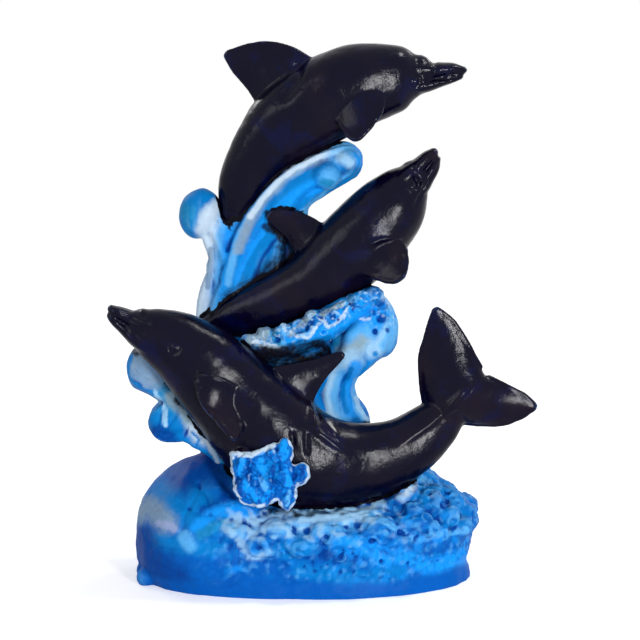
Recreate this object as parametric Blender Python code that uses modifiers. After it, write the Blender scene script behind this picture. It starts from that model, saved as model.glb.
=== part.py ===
"""Dolphin figurine, cast in one piece: three dolphins leap out of a breaking wave on a round base.

Every form is a solid of its own (a body, a fin, a jaw, a wave, a lump of foam) that sinks into the
next one. They are then fused into one skin, as the sculptor's clay was under the mould, and cut
flat at the foot. +X is to the right of the front view, +Y away from it, +Z up. The origin is the
middle of the flat underside. Places are drawn in steps, which the overall sizes stretch.
"""
import math
import bpy
import bmesh
import numpy as np
from mathutils import Matrix, Vector

NAME = "dolphin_figurine"
MM = 0.001

# Overall sizes
SPAN = 117.0 * MM                # across the front view, from the lowest beak to its fluke
HEIGHT = 150.0 * MM              # from the foot to the top dolphin's fin

# Base
BASE_WIDTH = 94.0 * MM
BASE_DEPTH = 60.0 * MM
WATERLINE = 15.0 * MM            # height at which the foam runs round the base
LEFT_SWELL_HEIGHT = 35.5 * MM    # top of the smooth swell at the left
RIGHT_SWELL_HEIGHT = 30.0 * MM   # top of the pitted foam at the right
FOOT_CHIP = 4.0 * MM             # width of the small chip in the front of the foot
BUMP_RADIUS = 2.7 * MM           # runs of resin at the left of the foot

# Greatest half thickness of each body from belly to back, and how wide a body is for its height
FRONT_GIRTH = 15.0 * MM
MIDDLE_GIRTH = 10.8 * MM
TOP_GIRTH = 12.0 * MM
FRONT_WIDTH_RATIO = 0.80
MIDDLE_WIDTH_RATIO = 0.92
TOP_WIDTH_RATIO = 0.84

# Heads and fins
FIN_THICKNESS = 3.0 * MM         # at the root; a fin's edge has a third of it
EYE_RADIUS = 1.7 * MM
UPPER_JAW_SHARE = 0.56           # half height of the upper beak, as a share of the whole beak's
LOWER_JAW_SHARE = 0.48           # the same for the lower jaw
JAW_SETBACK = 0.9 * MM           # how far the lower jaw stops short of the upper one

# Waves and foam
KNOB_RADIUS = 6.4 * MM           # ball at the end of the tall wave's left arm
SPLASH_THICKNESS = 7.8 * MM      # of the splash in front of the belly, from its seat to its face
FLUTE_DEPTH = 0.20               # depth of the waves' flutes, as a share of their radius
FOAM_LUMP = 2.6 * MM             # radius of a usual lump of foam
PIT_RADIUS = 1.4 * MM            # radius of a usual cup or crater in the foam
RIPPLE = 1.2 * MM                # how far the base's surface wanders in and out
RIPPLE_SPACING = 9.0 * MM
GOLDEN_TURN = math.radians(137.5)    # spreads lumps evenly with no pattern to see

# Skin
VOXEL = 0.62 * MM
SMOOTH_PASSES = 2
TRIANGLES = 11400

# The drawing's steps across, from front to back and up, and the length of one step each way
DRAWN = np.array((117, 60, 150))
GRID = np.array((SPAN, BASE_DEPTH, HEIGHT)) / DRAWN
STEP = GRID[2]


def at(x, y, z):
    """A place on the drawing, in metres."""
    return Vector(np.array((x, y, z)) * GRID)


# Places that several forms share
FRONT_BELLY = at(-4, -13, 37)        # middle of the front dolphin at its belly
MIDDLE_TAIL = at(-24, 4, 71.5)       # where the middle dolphin leaves the water
TOP_TAIL = at(-21, 9, 97)            # where the top dolphin leaves the water
WAVE_FOOT = at(-16, 9, 15)           # where the tall wave rises from the base
WAVE_FORK = at(-17.5, 10, 66)        # where the tall wave parts in two
CREST = at(20, 2, 71.5)              # middle of the curled crest at the right
SPLASH = at(-10.3, -26, 33.2)        # middle of the splash in front of the belly

# Rows along a body, tail to forehead: steps from the body's own place, then the half height as a
# share of the girth
FRONT_BODY = [
    (50.5, 2.5, 18.5, 0.22), (46.5, 3, 14.0, 0.27), (40.4, 3, 8.2, 0.46), (31.5, 2, 1.4, 0.60),
    (20.4, 1, -2.3, 0.72), (8.5, 0, -2.6, 0.92), (-1.5, 0, 1.0, 1.0), (-9.0, 0, 8.8, 0.95),
    (-16.8, 0, 17.2, 0.86), (-24.5, -1, 25.2, 0.76), (-31.0, -1, 30.6, 0.64),
    (-37.5, -2, 34.2, 0.49), (-41.5, -2, 36.0, 0.36)]
MIDDLE_BODY = [
    (-6.5, 0, -3.5, 0.24), (0.0, 0, 0.0, 0.42), (9.6, -1, 3.4, 0.64), (24.5, -2, 10.2, 0.84),
    (35.2, -2, 19.2, 1.02), (42.4, -2, 26.4, 1.02), (48.2, -2, 33.2, 0.90),
    (52.0, -2, 38.4, 0.66), (54.2, -2, 41.4, 0.44)]
TOP_BODY = [
    (-0.5, 0, -7.0, 0.12), (0.1, 0, 1.0, 0.25), (2.4, 0, 10.6, 0.52), (7.5, 0, 21.1, 0.70),
    (17.3, 0, 30.9, 0.96), (31.9, -1, 39.3, 1.0), (45.8, -1, 42.7, 0.80),
    (52.3, -1, 43.6, 0.47)]

# Jaws, root to tip: steps from the body's last row, then the half height in steps
FRONT_JAWS = [
    (6.0, 1.0, -3.6, 6.2), (0.5, 0, -1.2, 4.9), (-3.4, 0, 1.2, 3.7), (-6.6, -1, 3.5, 2.6),
    (-8.2, -1, 4.7, 1.8)]
MIDDLE_JAWS = [
    (-4.0, 0, -4.8, 6.0), (0.2, 0, -0.8, 5.2), (2.4, 0, 1.6, 4.2), (4.6, 0, 4.3, 3.3),
    (6.0, 0, 6.0, 2.1)]
TOP_JAWS = [
    (-3.0, 0, -0.6, 5.2), (2.5, 0, -0.6, 4.4), (6.2, 0, -0.1, 3.5), (9.6, 0, 0.4, 2.9),
    (12.8, 0, 0.5, 1.8)]

# Fins. The station is a share of the body's length and the seat is the angle round it, where 90
# is the back. The outline is five places (along, out) in steps from the seat: it leaves the body
# at the first, bends past the second to the tip, and comes back past the fourth to the fifth
FRONT_FINS = [
    dict(name="dorsal", station=0.60, seat=90, lean=90, thick=1.2, tip=2.4,
         outline=[(10, -1), (1.5, 10), (-3.9, 20.5), (-3.5, 9), (-12, -1)]),
    dict(name="near_flipper", station=0.70, seat=-12, lean=-62, thick=1.1, tip=3.6, sink=0.02, curl=4,
         outline=[(8.1, -1.5), (1, 6.5), (-10.5, 5.0), (-9.5, -1.5), (-4, -6)]),
    dict(name="far_flipper", station=0.70, seat=200, lean=235, thick=1.0, tip=3.0,
         outline=[(6, -3), (2, 7), (-8, 10), (-6, 5), (-6, -3)]),
    dict(name="upper_fluke", station=0.03, seat=90, lean=90, thick=1.5, tip=3.2,
         outline=[(8.5, -3), (-0.5, 18.5), (-11.8, 19.0), (-12.0, 10), (-6.3, -3)]),
    dict(name="right_fluke", station=0.03, seat=270, lean=270, thick=1.5, tip=3.2,
         outline=[(10.5, -3), (1.8, 15), (-8.6, 13.3), (-9, 5.4), (-6.3, -3)])]
MIDDLE_FINS = [
    dict(name="dorsal", station=0.42, seat=90, lean=90, thick=1.2, tip=4.6,
         outline=[(9.5, -1.5), (10.0, 16.5), (0.6, 15.4), (-1.6, 8), (-5.5, -1.5)]),
    dict(name="near_flipper", station=0.52, seat=205, lean=240, thick=1.3, tip=5.6, curl=-1.5,
         outline=[(9.5, -3), (15.5, 8.4), (5.6, 11.2), (0.0, 9), (-2, -3)]),
    dict(name="far_flipper", station=0.52, seat=-25, lean=-55, thick=1.0, tip=4.0,
         outline=[(9, -3), (12, 7), (1, 11), (-5, 8), (-6, -3)])]
TOP_FINS = [
    dict(name="dorsal", station=0.58, seat=90, lean=90, thick=1.2, tip=3.4,
         outline=[(14.5, -1.5), (9.5, 17.5), (-5.0, 17.2), (-5.0, 9.5), (-6.4, -3)]),
    dict(name="near_flipper", station=0.72, seat=195, lean=235, thick=1.1, tip=4.0,
         outline=[(10, -2), (9, 10.5), (-1.8, 12.0), (-5, 9), (-6, -3)]),
    dict(name="far_flipper", station=0.70, seat=-20, lean=-55, thick=1.0, tip=4.0,
         outline=[(7, -3), (6, 8), (-3, 12), (-6, 8), (-6, -3)])]

# Rows along a wave: steps from the wave's own place, then half height and half width in steps
LEFT_ARM = [(-3.2, 0, 5.0, 9.5, 9.5), (-4.8, 0, 20.0, 5.2, 7.0), (-8.0, 0, 31.0, 5.0, 6.0)]
RIGHT_ARM = [
    (-3.0, 0, 0.0, 11.5, 10), (2.4, 0, 15.0, 15.0, 9.0), (6.6, 0, 30.0, 12.4, 8.0),
    (12.3, -1, 41.5, 7.9, 7.4), (21.0, -2, 47.6, 6.8, 6.8), (27.6, -2, 50.4, 6.0, 6.0)]
MIDDLE_WATER = [
    (-5, 5, 9.0, 31, 20), (-6, 6, 28.5, 26, 17), (-7, 7, 46.5, 21, 14), (-11.5, 8, 60, 16, 12)]
RIGHT_COLUMN = [
    (-13, 1, -56.5, 12, 11), (-13, 1, -37.5, 10.8, 10), (-12.4, 1, -25.5, 9, 9), (-11.2, 0, -15, 8.6, 9),
    (-6.6, -1, -7.0, 9.4, 9), (-3.0, -1, 2.0, 8.0, 7)]
UPPER_TONGUE = [(-14, -2, 47.0, 12, 10), (-25.3, -3, 53.0, 11, 9), (-36.5, -4, 57.8, 9.4, 7.5),
                (-44.0, -5, 60.2, 7.6, 6)]
LOWER_TONGUE = [(-10, -3, 34.0, 13, 11), (-21.0, -4, 43.0, 11, 9), (-31.5, -5, 46.0, 8.6, 7),
                (-38.6, -6, 44.8, 6.0, 5.5)]
FOAM_RIDGE = [(-18, -4, 64, 4, 6), (-6, -5, 67, 5, 7), (5, -5, 71, 6, 7.5), (15, -3, 77, 6.5, 7.5),
              (22, -1, 80, 5, 6)]

# Edge of the splash as it shows from the front: steps (across, up) from its middle
SPLASH_EDGE = [
    (-10.6, 6.7), (-9.5, 7.5), (-4.8, 7.2), (-2.7, 7.8), (1.4, 9.7), (2.8, 9.7), (3.6, 10.8), (5.0, 11.1),
    (6.3, 9.9), (6.8, 7.5), (6.8, 5.0), (7.7, 3.9), (9.5, 4.4), (10.9, 3.3), (11.5, 1.1), (10.7, -1.2),
    (9.0, -2.0), (8.2, -2.3), (7.7, -4.5), (7.7, -6.5), (6.3, -9.0), (4.9, -9.3), (3.6, -7.9), (2.7, -6.2),
    (1.2, -7.3), (-1.4, -8.2), (-4.3, -7.9), (-6.8, -7.0), (-8.2, -5.1), (-9.0, -2.8), (-9.7, 1.4),
    (-10.0, 3.9)]
# Layers of the splash from its seat to its face: depth behind its edge and spread, as shares
SPLASH_LAYERS = [
    (0.64, 0.70), (0.26, 0.96), (0.0, 1.0), (-0.15, 0.99), (-0.26, 0.92), (-0.32, 0.78), (-0.36, 0.5)]
# Lobes on its face: steps across and up from its middle, then the length in steps
SPLASH_LOBES = [
    (-6.7, 3.7, 2.8), (-1.8, 4.0, 2.4), (2.2, 6.2, 2.0), (4.9, 7.2, 1.9), (9.3, 1.2, 2.2),
    (-6.0, -1.8, 2.9), (-0.4, -1.0, 2.8), (4.9, -0.2, 2.4), (-2.7, -5.2, 2.5), (1.9, -4.6, 1.9),
    (5.4, -5.8, 2.1)]

# Curls along the ridge of foam: the place, the half width and half height in steps, and the tilt
CURLS = [
    (-14.9, -8.6, 68.4, 3.2, 1.6, 0), (-10.9, -7.8, 69.6, 3.0, 2.0, 25), (-6.4, -9.8, 70.6, 2.6, 2.4, -6),
    (-1.2, -7.6, 71.2, 3.4, 3.0, -23), (2.1, -8.8, 74.6, 2.6, 2.2, 12), (7.3, -9.2, 74.7, 3.2, 2.9, 20),
    (11.4, -7.4, 77.4, 2.4, 2.2, -18), (15.1, -9.7, 79.9, 3.0, 2.2, -16), (19.1, -8.2, 81.3, 2.4, 2.0, 22),
    (-9.0, -8.1, 67.1, 3.0, 1.4, 10), (3.3, -9.7, 70.1, 2.6, 1.8, -24)]

# Cups and craters pressed into the foam: the place of each ball, and its share of the usual radius
PITS = [
    (-1.8, -11.3, 73.3, 1.6), (7.1, -12.4, 75.5, 1.4), (-8.3, -11.6, 69.0, 0.9), (17.0, 0.4, 82.7, 1.1),
    (19.6, 0.3, 82.3, 1.5), (22.1, -3.3, 78.6, 1.3), (15.4, -0.5, 81.0, 0.9), (20.7, -6.1, 73.4, 1.0),
    (18.5, -3.6, 69.9, 0.9), (-13.5, -32.9, 13.4, 1.6), (5.3, -31.0, 18.3, 1.0), (18.3, -30.3, 15.7, 1.1),
    (32.3, -7.8, 29.6, 1.0), (35.1, -11.5, 26.7, 1.0), (40.4, -7.8, 26.6, 0.9), (39.9, -11.9, 23.6, 1.0),
    (31.6, -21.4, 25.3, 0.9), (34.7, -21.8, 22.2, 1.0), (41.8, -19.6, 18.7, 1.0), (21.5, -27.8, 9.5, 0.9)]


def rows_at(place, rows, rest):
    """Rows moved to a place in the model, in metres; what follows a place is measured by the rest."""
    table = np.array(rows, dtype=float)
    table[:, :3] = table[:, :3] * GRID + np.array(place)
    table[:, 3:] = table[:, 3:] * rest
    return table


def spline(rows, count):
    """Rows read at even steps along a smooth curve through the given rows."""
    rows = np.array(rows, dtype=float)
    padded = np.vstack([2 * rows[0] - rows[1], rows, 2 * rows[-1] - rows[-2]])
    result = []
    for position in np.linspace(0, len(rows) - 1, count):
        index = min(int(position), len(rows) - 2)
        t = position - index
        a, b, c, d = padded[index:index + 4]
        result.append(0.5 * (2 * b + (c - a) * t + (2 * a - 5 * b + 4 * c - d) * t ** 2
                             + (3 * b - a - 3 * c + d) * t ** 3))
    return np.array(result)


def directions(points, side):
    """Along, side and up directions at each point of a path."""
    side = np.array(side, dtype=float)
    along = np.gradient(points, axis=0)
    along /= np.linalg.norm(along, axis=1)[:, None]
    across = side[None, :] - along * (along @ side)[:, None]
    across /= np.linalg.norm(across, axis=1)[:, None]
    return along, across, np.cross(along, across)


def add_object(name, mesh):
    data = bpy.data.meshes.new(name)
    mesh.to_mesh(data)
    mesh.free()
    piece = bpy.data.objects.new(name, data)
    bpy.context.scene.collection.objects.link(piece)
    return piece


def skin(name, rings, tips):
    """Close a run of rings, with a point beyond each end, into one solid."""
    mesh = bmesh.new()
    layers = [[mesh.verts.new(point) for point in ring] for ring in rings]
    count = len(layers[0])
    for lower, upper in zip(layers, layers[1:]):
        for i in range(count):
            j = (i + 1) % count
            mesh.faces.new((lower[i], lower[j], upper[j], upper[i]))
    first = mesh.verts.new(tips[0])
    last = mesh.verts.new(tips[1])
    for i in range(count):
        j = (i + 1) % count
        mesh.faces.new((layers[0][j], layers[0][i], first))
        mesh.faces.new((layers[-1][i], layers[-1][j], last))
    bmesh.ops.recalc_face_normals(mesh, faces=mesh.faces)
    return add_object(name, mesh)


def loft(name, rows, side, steps=44, around=26, squareness=2.2, flutes=0, flute_depth=0.0, twist=0.0):
    """A solid along a path. A row is X, Y, Z, half height and half width; its ends are round.

    Flutes run along it as on a pillar, and twist is how far they turn round it on the way.
    """
    table = spline(rows, steps)
    points = table[:, :3]
    along, across, up = directions(points, side)
    angles = np.arange(around) * 2 * math.pi / around
    power = 2 / squareness
    cosines = np.sign(np.cos(angles)) * np.abs(np.cos(angles)) ** power
    sines = np.sign(np.sin(angles)) * np.abs(np.sin(angles)) ** power
    rings = []

    def ring(index, shrink, shift):
        height, width = table[index, 3:5] * shrink
        turn = twist * (index / steps if index >= 0 else 1.0)
        swell = 1 - flute_depth * (0.5 - 0.5 * np.cos(flutes * (angles + turn)))
        return (points[index] + along[index] * shift
                + np.outer(cosines * swell * width, across[index])
                + np.outer(sines * swell * height, up[index]))

    caps = [math.radians(angle) for angle in (72, 48, 24)]
    reach = [min(table[0, 3:5]), min(table[-1, 3:5])]
    for angle in caps:
        rings.append(ring(0, math.cos(angle), -math.sin(angle) * reach[0]))
    for index in range(len(table)):
        rings.append(ring(index, 1.0, 0.0))
    for angle in reversed(caps):
        rings.append(ring(-1, math.cos(angle), math.sin(angle) * reach[1]))
    tips = (points[0] - along[0] * reach[0], points[-1] + along[-1] * reach[1])
    return skin(name, rings, tips)


def lump(name, place, radii, turn=(0, 0, 0), detail=(12, 8)):
    """An egg-shaped lump, its radii given along X, Y and Z before it is turned."""
    mesh = bmesh.new()
    bmesh.ops.create_uvsphere(mesh, u_segments=detail[0], v_segments=detail[1], radius=1.0)
    turned = Matrix.Translation(place)
    for angle, axis in zip(reversed(turn), "ZYX"):
        turned = turned @ Matrix.Rotation(math.radians(angle), 4, axis)
    turned = turned @ Matrix.Diagonal((*radii, 1.0))
    bmesh.ops.transform(mesh, matrix=turned, verts=mesh.verts)
    return add_object(name, mesh)


def body_frame(body, station):
    """The row and the along, side and up directions of a body at a share of its length."""
    table = spline(body["rows"], 201)
    along, across, up = directions(table[:, :3], body["side"])
    index = min(200, max(0, round(station * 200)))
    return table[index], along[index], across[index], up[index]


def on_body(body, station, angle, sink=0.0):
    """A point on a body's skin; angle 90 is the back, 0 and 180 are its sides."""
    row, along, across, up = body_frame(body, station)
    turn = math.radians(angle)
    outward = math.cos(turn) * row[4] * across + math.sin(turn) * row[3] * up
    return Vector(row[:3] + outward * (1 - sink))


def bezier(start, control, end, t):
    start, control, end = (np.array(p, dtype=float) for p in (start, control, end))
    return start * (1 - t) ** 2 + control * 2 * t * (1 - t) + end * t ** 2


def fin(label, body, name, station, seat, lean, outline, thick, tip, sink=0.35, curl=0.0):
    """A fin in the plane of the body's length and a leaning direction; it curls towards its tip."""
    along, across, up = body_frame(body, station)[1:]
    origin = np.array(on_body(body, station, seat, sink))
    out = math.cos(math.radians(lean)) * across + math.sin(math.radians(lean)) * up
    normal = np.cross(along, out)
    front, lead, end, trail, rear = outline
    tip_front = (end[0] + tip / 2, end[1] - tip / 4)
    tip_rear = (end[0] - tip / 2, end[1] - tip / 4)
    angles = np.arange(16) * 2 * math.pi / 16
    rings = []
    for t in np.linspace(0, 0.99, 26):
        rounding = max(0.0, (t - 0.75) / 0.25)
        rise = normal * curl * t * t + out * rounding * 0.58 * tip
        ends = [origin + (along * edge[0] + out * edge[1] + rise) * STEP
                for edge in (bezier(front, lead, tip_front, t), bezier(rear, trail, tip_rear, t))]
        middle = (ends[0] + ends[1]) / 2
        chord = (ends[0] - ends[1]) / 2 * math.sqrt(1 - rounding ** 2)
        half = FIN_THICKNESS * thick * (1 - 0.62 * t) / 2
        rings.append(middle + np.outer(np.cos(angles), chord) + np.outer(np.sin(angles) * half, normal))
    root = rings[0].mean(axis=0) - out * 0.5 * STEP
    return skin(f"{label}_{name}", rings, (root, middle + out * 0.1 * STEP))


def jaws(label, body, rows):
    """Upper beak and lower jaw, two solids whose meeting leaves the groove of the mouth."""
    table = rows_at(body["rows"][-1][:3], rows, STEP)
    along, across, up = directions(table[:, :3], body["side"])
    halves = table[:, 3]
    pieces = []
    for name, sign, share, setback in (("beak", 1, UPPER_JAW_SHARE, 0.0),
                                       ("jaw", -1, LOWER_JAW_SHARE, JAW_SETBACK)):
        centres = table[:, :3] + up * (sign * halves * (1 - share))[:, None] - along * setback
        jaw_rows = np.column_stack([centres, halves * share, halves * 1.05])
        pieces.append(loft(f"{label}_{name}", jaw_rows, body["side"], steps=20, around=18))
    return pieces


def dolphin(label, place, rows, girth, ratio, side, jaw_rows, fins, eye_station, eye_angles):
    """A body with its jaws, fins and eyes; side is the direction of the body's angle 0."""
    table = rows_at(place, rows, girth)
    body = {"rows": np.column_stack([table, table[:, 3] * ratio]), "side": side}
    pieces = [loft(f"{label}_body", body["rows"], side, steps=64, around=30)]
    pieces += jaws(label, body, jaw_rows)
    pieces += [fin(label, body, **shape) for shape in fins]
    for angle in eye_angles:
        pieces.append(lump(f"{label}_eye_{angle}", on_body(body, eye_station, angle, 0.10),
                           (EYE_RADIUS,) * 3, detail=(16, 10)))
    return body, pieces


def front_dolphin():
    body, pieces = dolphin("front", FRONT_BELLY, FRONT_BODY, FRONT_GIRTH, FRONT_WIDTH_RATIO,
                           (0, -1, 0), FRONT_JAWS, FRONT_FINS, 0.93, (10, 170))
    tip = on_body(body, 0.56, -32, 0.02)
    pieces.append(lump("front_flipper_tip", tip, Vector((3.4, 2.4, 2.2)) * STEP, turn=(0, 28, 0)))
    return pieces


def middle_dolphin():
    return dolphin("middle", MIDDLE_TAIL, MIDDLE_BODY, MIDDLE_GIRTH, MIDDLE_WIDTH_RATIO,
                   (0, 1, 0), MIDDLE_JAWS, MIDDLE_FINS, 0.90, (12, 168))[1]


def top_dolphin():
    return dolphin("top", TOP_TAIL, TOP_BODY, TOP_GIRTH, TOP_WIDTH_RATIO,
                   (0, 1, 0), TOP_JAWS, TOP_FINS, 0.93, (12, 168))[1]


def wave(name, place, rows, **shape):
    return loft(name, rows_at(place, rows, STEP), (0, 1, 0), **shape)


def tall_wave():
    """The tall wave behind, which parts into a curled left arm and a right arm under the top dolphin."""
    foot = np.array((WAVE_FOOT - WAVE_FORK)) / GRID
    left = [(*foot, 14, 12), (*(foot * 0.45), 11.5, 11)] + LEFT_ARM
    right = [(*foot, 12, 11)] + RIGHT_ARM
    knob = WAVE_FORK + at(*LEFT_ARM[-1][:3]) + at(-4.4, -1.0, 4.6)
    end = WAVE_FORK + at(*RIGHT_ARM[-1][:3])
    return [
        wave("tall_wave_left", WAVE_FORK, left, steps=30, around=42, flutes=7, flute_depth=FLUTE_DEPTH,
             twist=0.5),
        wave("tall_wave_right", WAVE_FORK, right, steps=36, around=54, squareness=3.0, flutes=9,
             flute_depth=FLUTE_DEPTH, twist=0.35),
        lump("knob", knob, Vector((0.92, 1.0, 1.12)) * KNOB_RADIUS, turn=(0, 15, 0)),
        lump("right_end_low", end + at(-4.4, -5.0, -3.4), Vector((4.2, 4.0, 4.0)) * STEP),
        lump("right_end_high", end + at(1.6, -4.0, 0.4), Vector((3.6, 3.6, 3.4)) * STEP)]


def swelling_water():
    """The body of water in the middle, which carries the waves and the two lower dolphins."""
    return [wave("swelling_water", (0, 0, 0), MIDDLE_WATER, steps=30, around=78, flutes=13,
                 flute_depth=FLUTE_DEPTH * 0.6, twist=0.3)]


def right_wave():
    """The wave at the right: a column that widens into a crest, hollow like a spoon in front."""
    column = wave("right_wave", CREST, RIGHT_COLUMN, steps=32, around=36, flutes=6,
                  flute_depth=FLUTE_DEPTH * 0.9, twist=0.4)
    bulb = lump("crest", CREST, Vector((6.0, 8.0, 9.6)) * STEP, turn=(0, -14, 0), detail=(16, 10))
    return [column, bulb]


def left_wave():
    """Two tongues of water that break out at the left, under the front dolphin's head."""
    return [wave(name, (0, 0, 0), rows, steps=22, around=36, squareness=2.8, flutes=flutes,
                 flute_depth=FLUTE_DEPTH * share)
            for name, rows, flutes, share in (("upper_tongue", UPPER_TONGUE, 5, 0.6),
                                              ("lower_tongue", LOWER_TONGUE, 6, 0.8))]


def foam_ridge():
    """The broken edge of foam between the middle dolphin and the front one."""
    pieces = [wave("ridge", (0, 0, 0), FOAM_RIDGE, steps=24),
              lump("ridge_core", at(3, 0, 61), Vector((17, 10, 14)) * STEP, detail=(24, 16))]
    for index, (x, y, z, width, height, tilt) in enumerate(CURLS):
        pieces.append(lump(f"curl_{index}", at(x, y, z), Vector((width, 2.8, height)) * STEP,
                           turn=(0, tilt, 0), detail=(16, 10)))
    return pieces


def splash():
    """The splash in front of the belly: a thick plate with a ragged edge and lobes on its face."""
    edge = spline(SPLASH_EDGE + SPLASH_EDGE[:1], 3 * len(SPLASH_EDGE))[:-1]
    rings = [[SPLASH + at(across * share, 0, up * share) + Vector((0, depth * SPLASH_THICKNESS, 0))
              for across, up in edge] for depth, share in SPLASH_LAYERS]
    middles = [SPLASH + Vector((0, SPLASH_LAYERS[end][0] * SPLASH_THICKNESS, 0)) for end in (0, -1)]
    pieces = [skin("splash_plate", rings, middles)]
    for index, (across, up, size) in enumerate(SPLASH_LOBES):
        lean = 0.5 * size * math.cos(index * 1.3)
        lift = 0.5 * math.sin(index * 2.2) - 0.28 * SPLASH_THICKNESS / STEP
        path = np.array([SPLASH + at(across + side * lean, lift, up + side * 0.5 * size)
                         for side in (-1, 1)])
        radii = np.full((2, 2), 0.72 * size * STEP)
        pieces.append(loft(f"splash_lobe_{index}", np.column_stack([path, radii]), (0, 1, 0), steps=8,
                           around=16, squareness=3.4))
    return pieces


def base():
    """The oval block of water with its two swells, the foam round it and the runs at its foot."""
    half_width = BASE_WIDTH / 2
    half_depth = BASE_DEPTH / 2
    profile = [(-4.0 * MM, 0.97), (1.0 * MM, 0.985), (0.3 * WATERLINE, 0.965), (0.8 * WATERLINE, 1.0),
               (1.15 * WATERLINE, 0.96), (1.4 * WATERLINE, 0.84), (1.6 * WATERLINE, 0.62)]
    rows = [(0.0, 0.0, height, half_width * share, half_depth * share) for height, share in profile]
    left = Vector((-0.50 * half_width, -0.06 * half_depth, 0.32 * LEFT_SWELL_HEIGHT))
    right = Vector((0.58 * half_width, 0.06 * half_depth, 0.42 * RIGHT_SWELL_HEIGHT))
    left_radii = (0.53 * half_width, 0.90 * half_depth, 0.67 * LEFT_SWELL_HEIGHT)
    right_radii = (0.40 * half_width, 0.84 * half_depth, 0.58 * RIGHT_SWELL_HEIGHT)
    pieces = [loft("block", rows, (0, 1, 0), steps=26, around=56, squareness=2.25),
              lump("left_swell", left, left_radii, detail=(32, 20)),
              lump("right_swell", right, right_radii, detail=(28, 18))]
    for piece in pieces:
        ripple(piece)
    pieces += foam_collar(half_width, half_depth) + foam_heap(half_width, half_depth)
    return pieces + swirls(left, half_width, half_depth) + foot_bumps(half_width)


def ripple(piece):
    """Push a smooth surface in and out a little, as water and a worked surface are."""
    texture = bpy.data.textures.new("ripple", "CLOUDS")
    texture.noise_scale = RIPPLE_SPACING
    texture.noise_depth = 2
    push = piece.modifiers.new("ripple", "DISPLACE")
    push.texture = texture
    push.texture_coords = "LOCAL"
    push.strength = RIPPLE
    apply_all(piece)


def foam_collar(half_width, half_depth):
    """The broken foam that runs round the front, the right side and the back of the base."""
    pieces = []
    count = 46
    for index in range(count):
        turn = math.radians(-122 + 240 * index / (count - 1))
        wobble = at(0, 0, 1.7 * math.sin(index * 1.9) + 1.0 * math.sin(index * 3.7))
        size = FOAM_LUMP * (1.15 + 0.35 * math.sin(index * 2.4))
        place = Vector((half_width * 0.93 * math.cos(turn), half_depth * 0.93 * math.sin(turn),
                        WATERLINE * 1.12))
        pieces.append(lump(f"collar_{index}", place + wobble, Vector((1.5, 1.5, 1.0)) * size,
                           turn=(0, 0, math.degrees(turn))))
    return pieces


def foam_heap(half_width, half_depth):
    """The heap of foam lumps over the right swell."""
    pieces = []
    count = 24
    for index in range(count):
        turn = index * GOLDEN_TURN
        share = math.sqrt((index + 0.5) / count)
        place = Vector((half_width * (0.66 + 0.28 * share * math.cos(turn)),
                        half_depth * (-0.10 + 0.72 * share * math.sin(turn)),
                        RIGHT_SWELL_HEIGHT * (0.93 - 0.33 * share ** 2)))
        size = FOAM_LUMP * (1.15 + 0.3 * math.sin(index * 2.1))
        pieces.append(lump(f"heap_{index}", place, Vector((1.1, 1.1, 1.0)) * size))
    return pieces


def swirls(centre, half_width, half_depth):
    """Long low ridges of water that sweep round the front of the left swell."""
    pieces = []
    for index in range(5):
        lift = (0.28 + 0.15 * index) * math.pi / 2
        rows = []
        for step in range(6):
            turn = math.radians(200 + 22 * step + 4 * index)
            rows.append((centre.x + 0.50 * half_width * math.cos(lift) * math.cos(turn),
                         centre.y + 0.86 * half_depth * math.cos(lift) * math.sin(turn),
                         centre.z + 0.64 * LEFT_SWELL_HEIGHT * math.sin(lift) - 1.3 * STEP * step,
                         0.5 * FOAM_LUMP, 0.6 * FOAM_LUMP))
        pieces.append(loft(f"swirl_{index}", rows, (0, 0, 1), steps=24, around=10))
    return pieces


def foot_bumps(half_width):
    """A few runs of resin at the left of the foot."""
    return [lump(f"foot_bump_{index}", Vector((-0.95 * half_width, 0, 0)) + at(0, y, z),
                 Vector((size,) * 3) * BUMP_RADIUS, detail=(16, 10))
            for index, (y, z, size) in enumerate(((-8, 2.5, 1.1), (-3, 4.0, 0.9), (-13, 2.0, 1.0)))]


def hollows():
    """Cutters: craters in the foam, the spoon in the crest and the chip in the foot."""
    half_width = BASE_WIDTH / 2
    half_depth = BASE_DEPTH / 2
    cutters = [lump(f"pit_{index}", at(x, y, z), (share * PIT_RADIUS,) * 3, detail=(12, 8))
               for index, (x, y, z, share) in enumerate(PITS)]
    cutters.append(lump("spoon", CREST + at(-4.6, -11.4, -2.0), Vector((6.0, 5.0, 6.4)) * STEP,
                        turn=(0, 24, 0), detail=(16, 10)))
    chip = Vector((0.05 * half_width, -half_depth * 0.985, 0.0))
    cutters.append(lump("foot_chip", chip, Vector((3, 3, 2)) * FOOT_CHIP / 6, detail=(16, 10)))
    return cutters


def join(pieces, name):
    """One mesh object from many solids, not yet fused."""
    mesh = bmesh.new()
    for piece in pieces:
        mesh.from_mesh(piece.data)
        bpy.data.objects.remove(piece, do_unlink=True)
    return add_object(name, mesh)


def apply_all(piece):
    """Replace a piece's mesh by the mesh that its modifiers give."""
    graph = bpy.context.evaluated_depsgraph_get()
    data = bpy.data.meshes.new_from_object(piece.evaluated_get(graph))
    piece.modifiers.clear()
    piece.data = data
    return piece


def keep_outer_shell(mesh):
    """Drop sealed bubbles and loose crumbs that the fusing leaves."""
    unseen = set(mesh.verts)
    shells = []
    while unseen:
        start = unseen.pop()
        shell = {start}
        front = [start]
        while front:
            vert = front.pop()
            for edge in vert.link_edges:
                other = edge.other_vert(vert)
                if other in unseen:
                    unseen.discard(other)
                    shell.add(other)
                    front.append(other)
        shells.append(shell)
    shells.sort(key=len)
    crumbs = [vert for shell in shells[:-1] for vert in shell]
    bmesh.ops.delete(mesh, geom=crumbs, context="VERTS")


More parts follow.
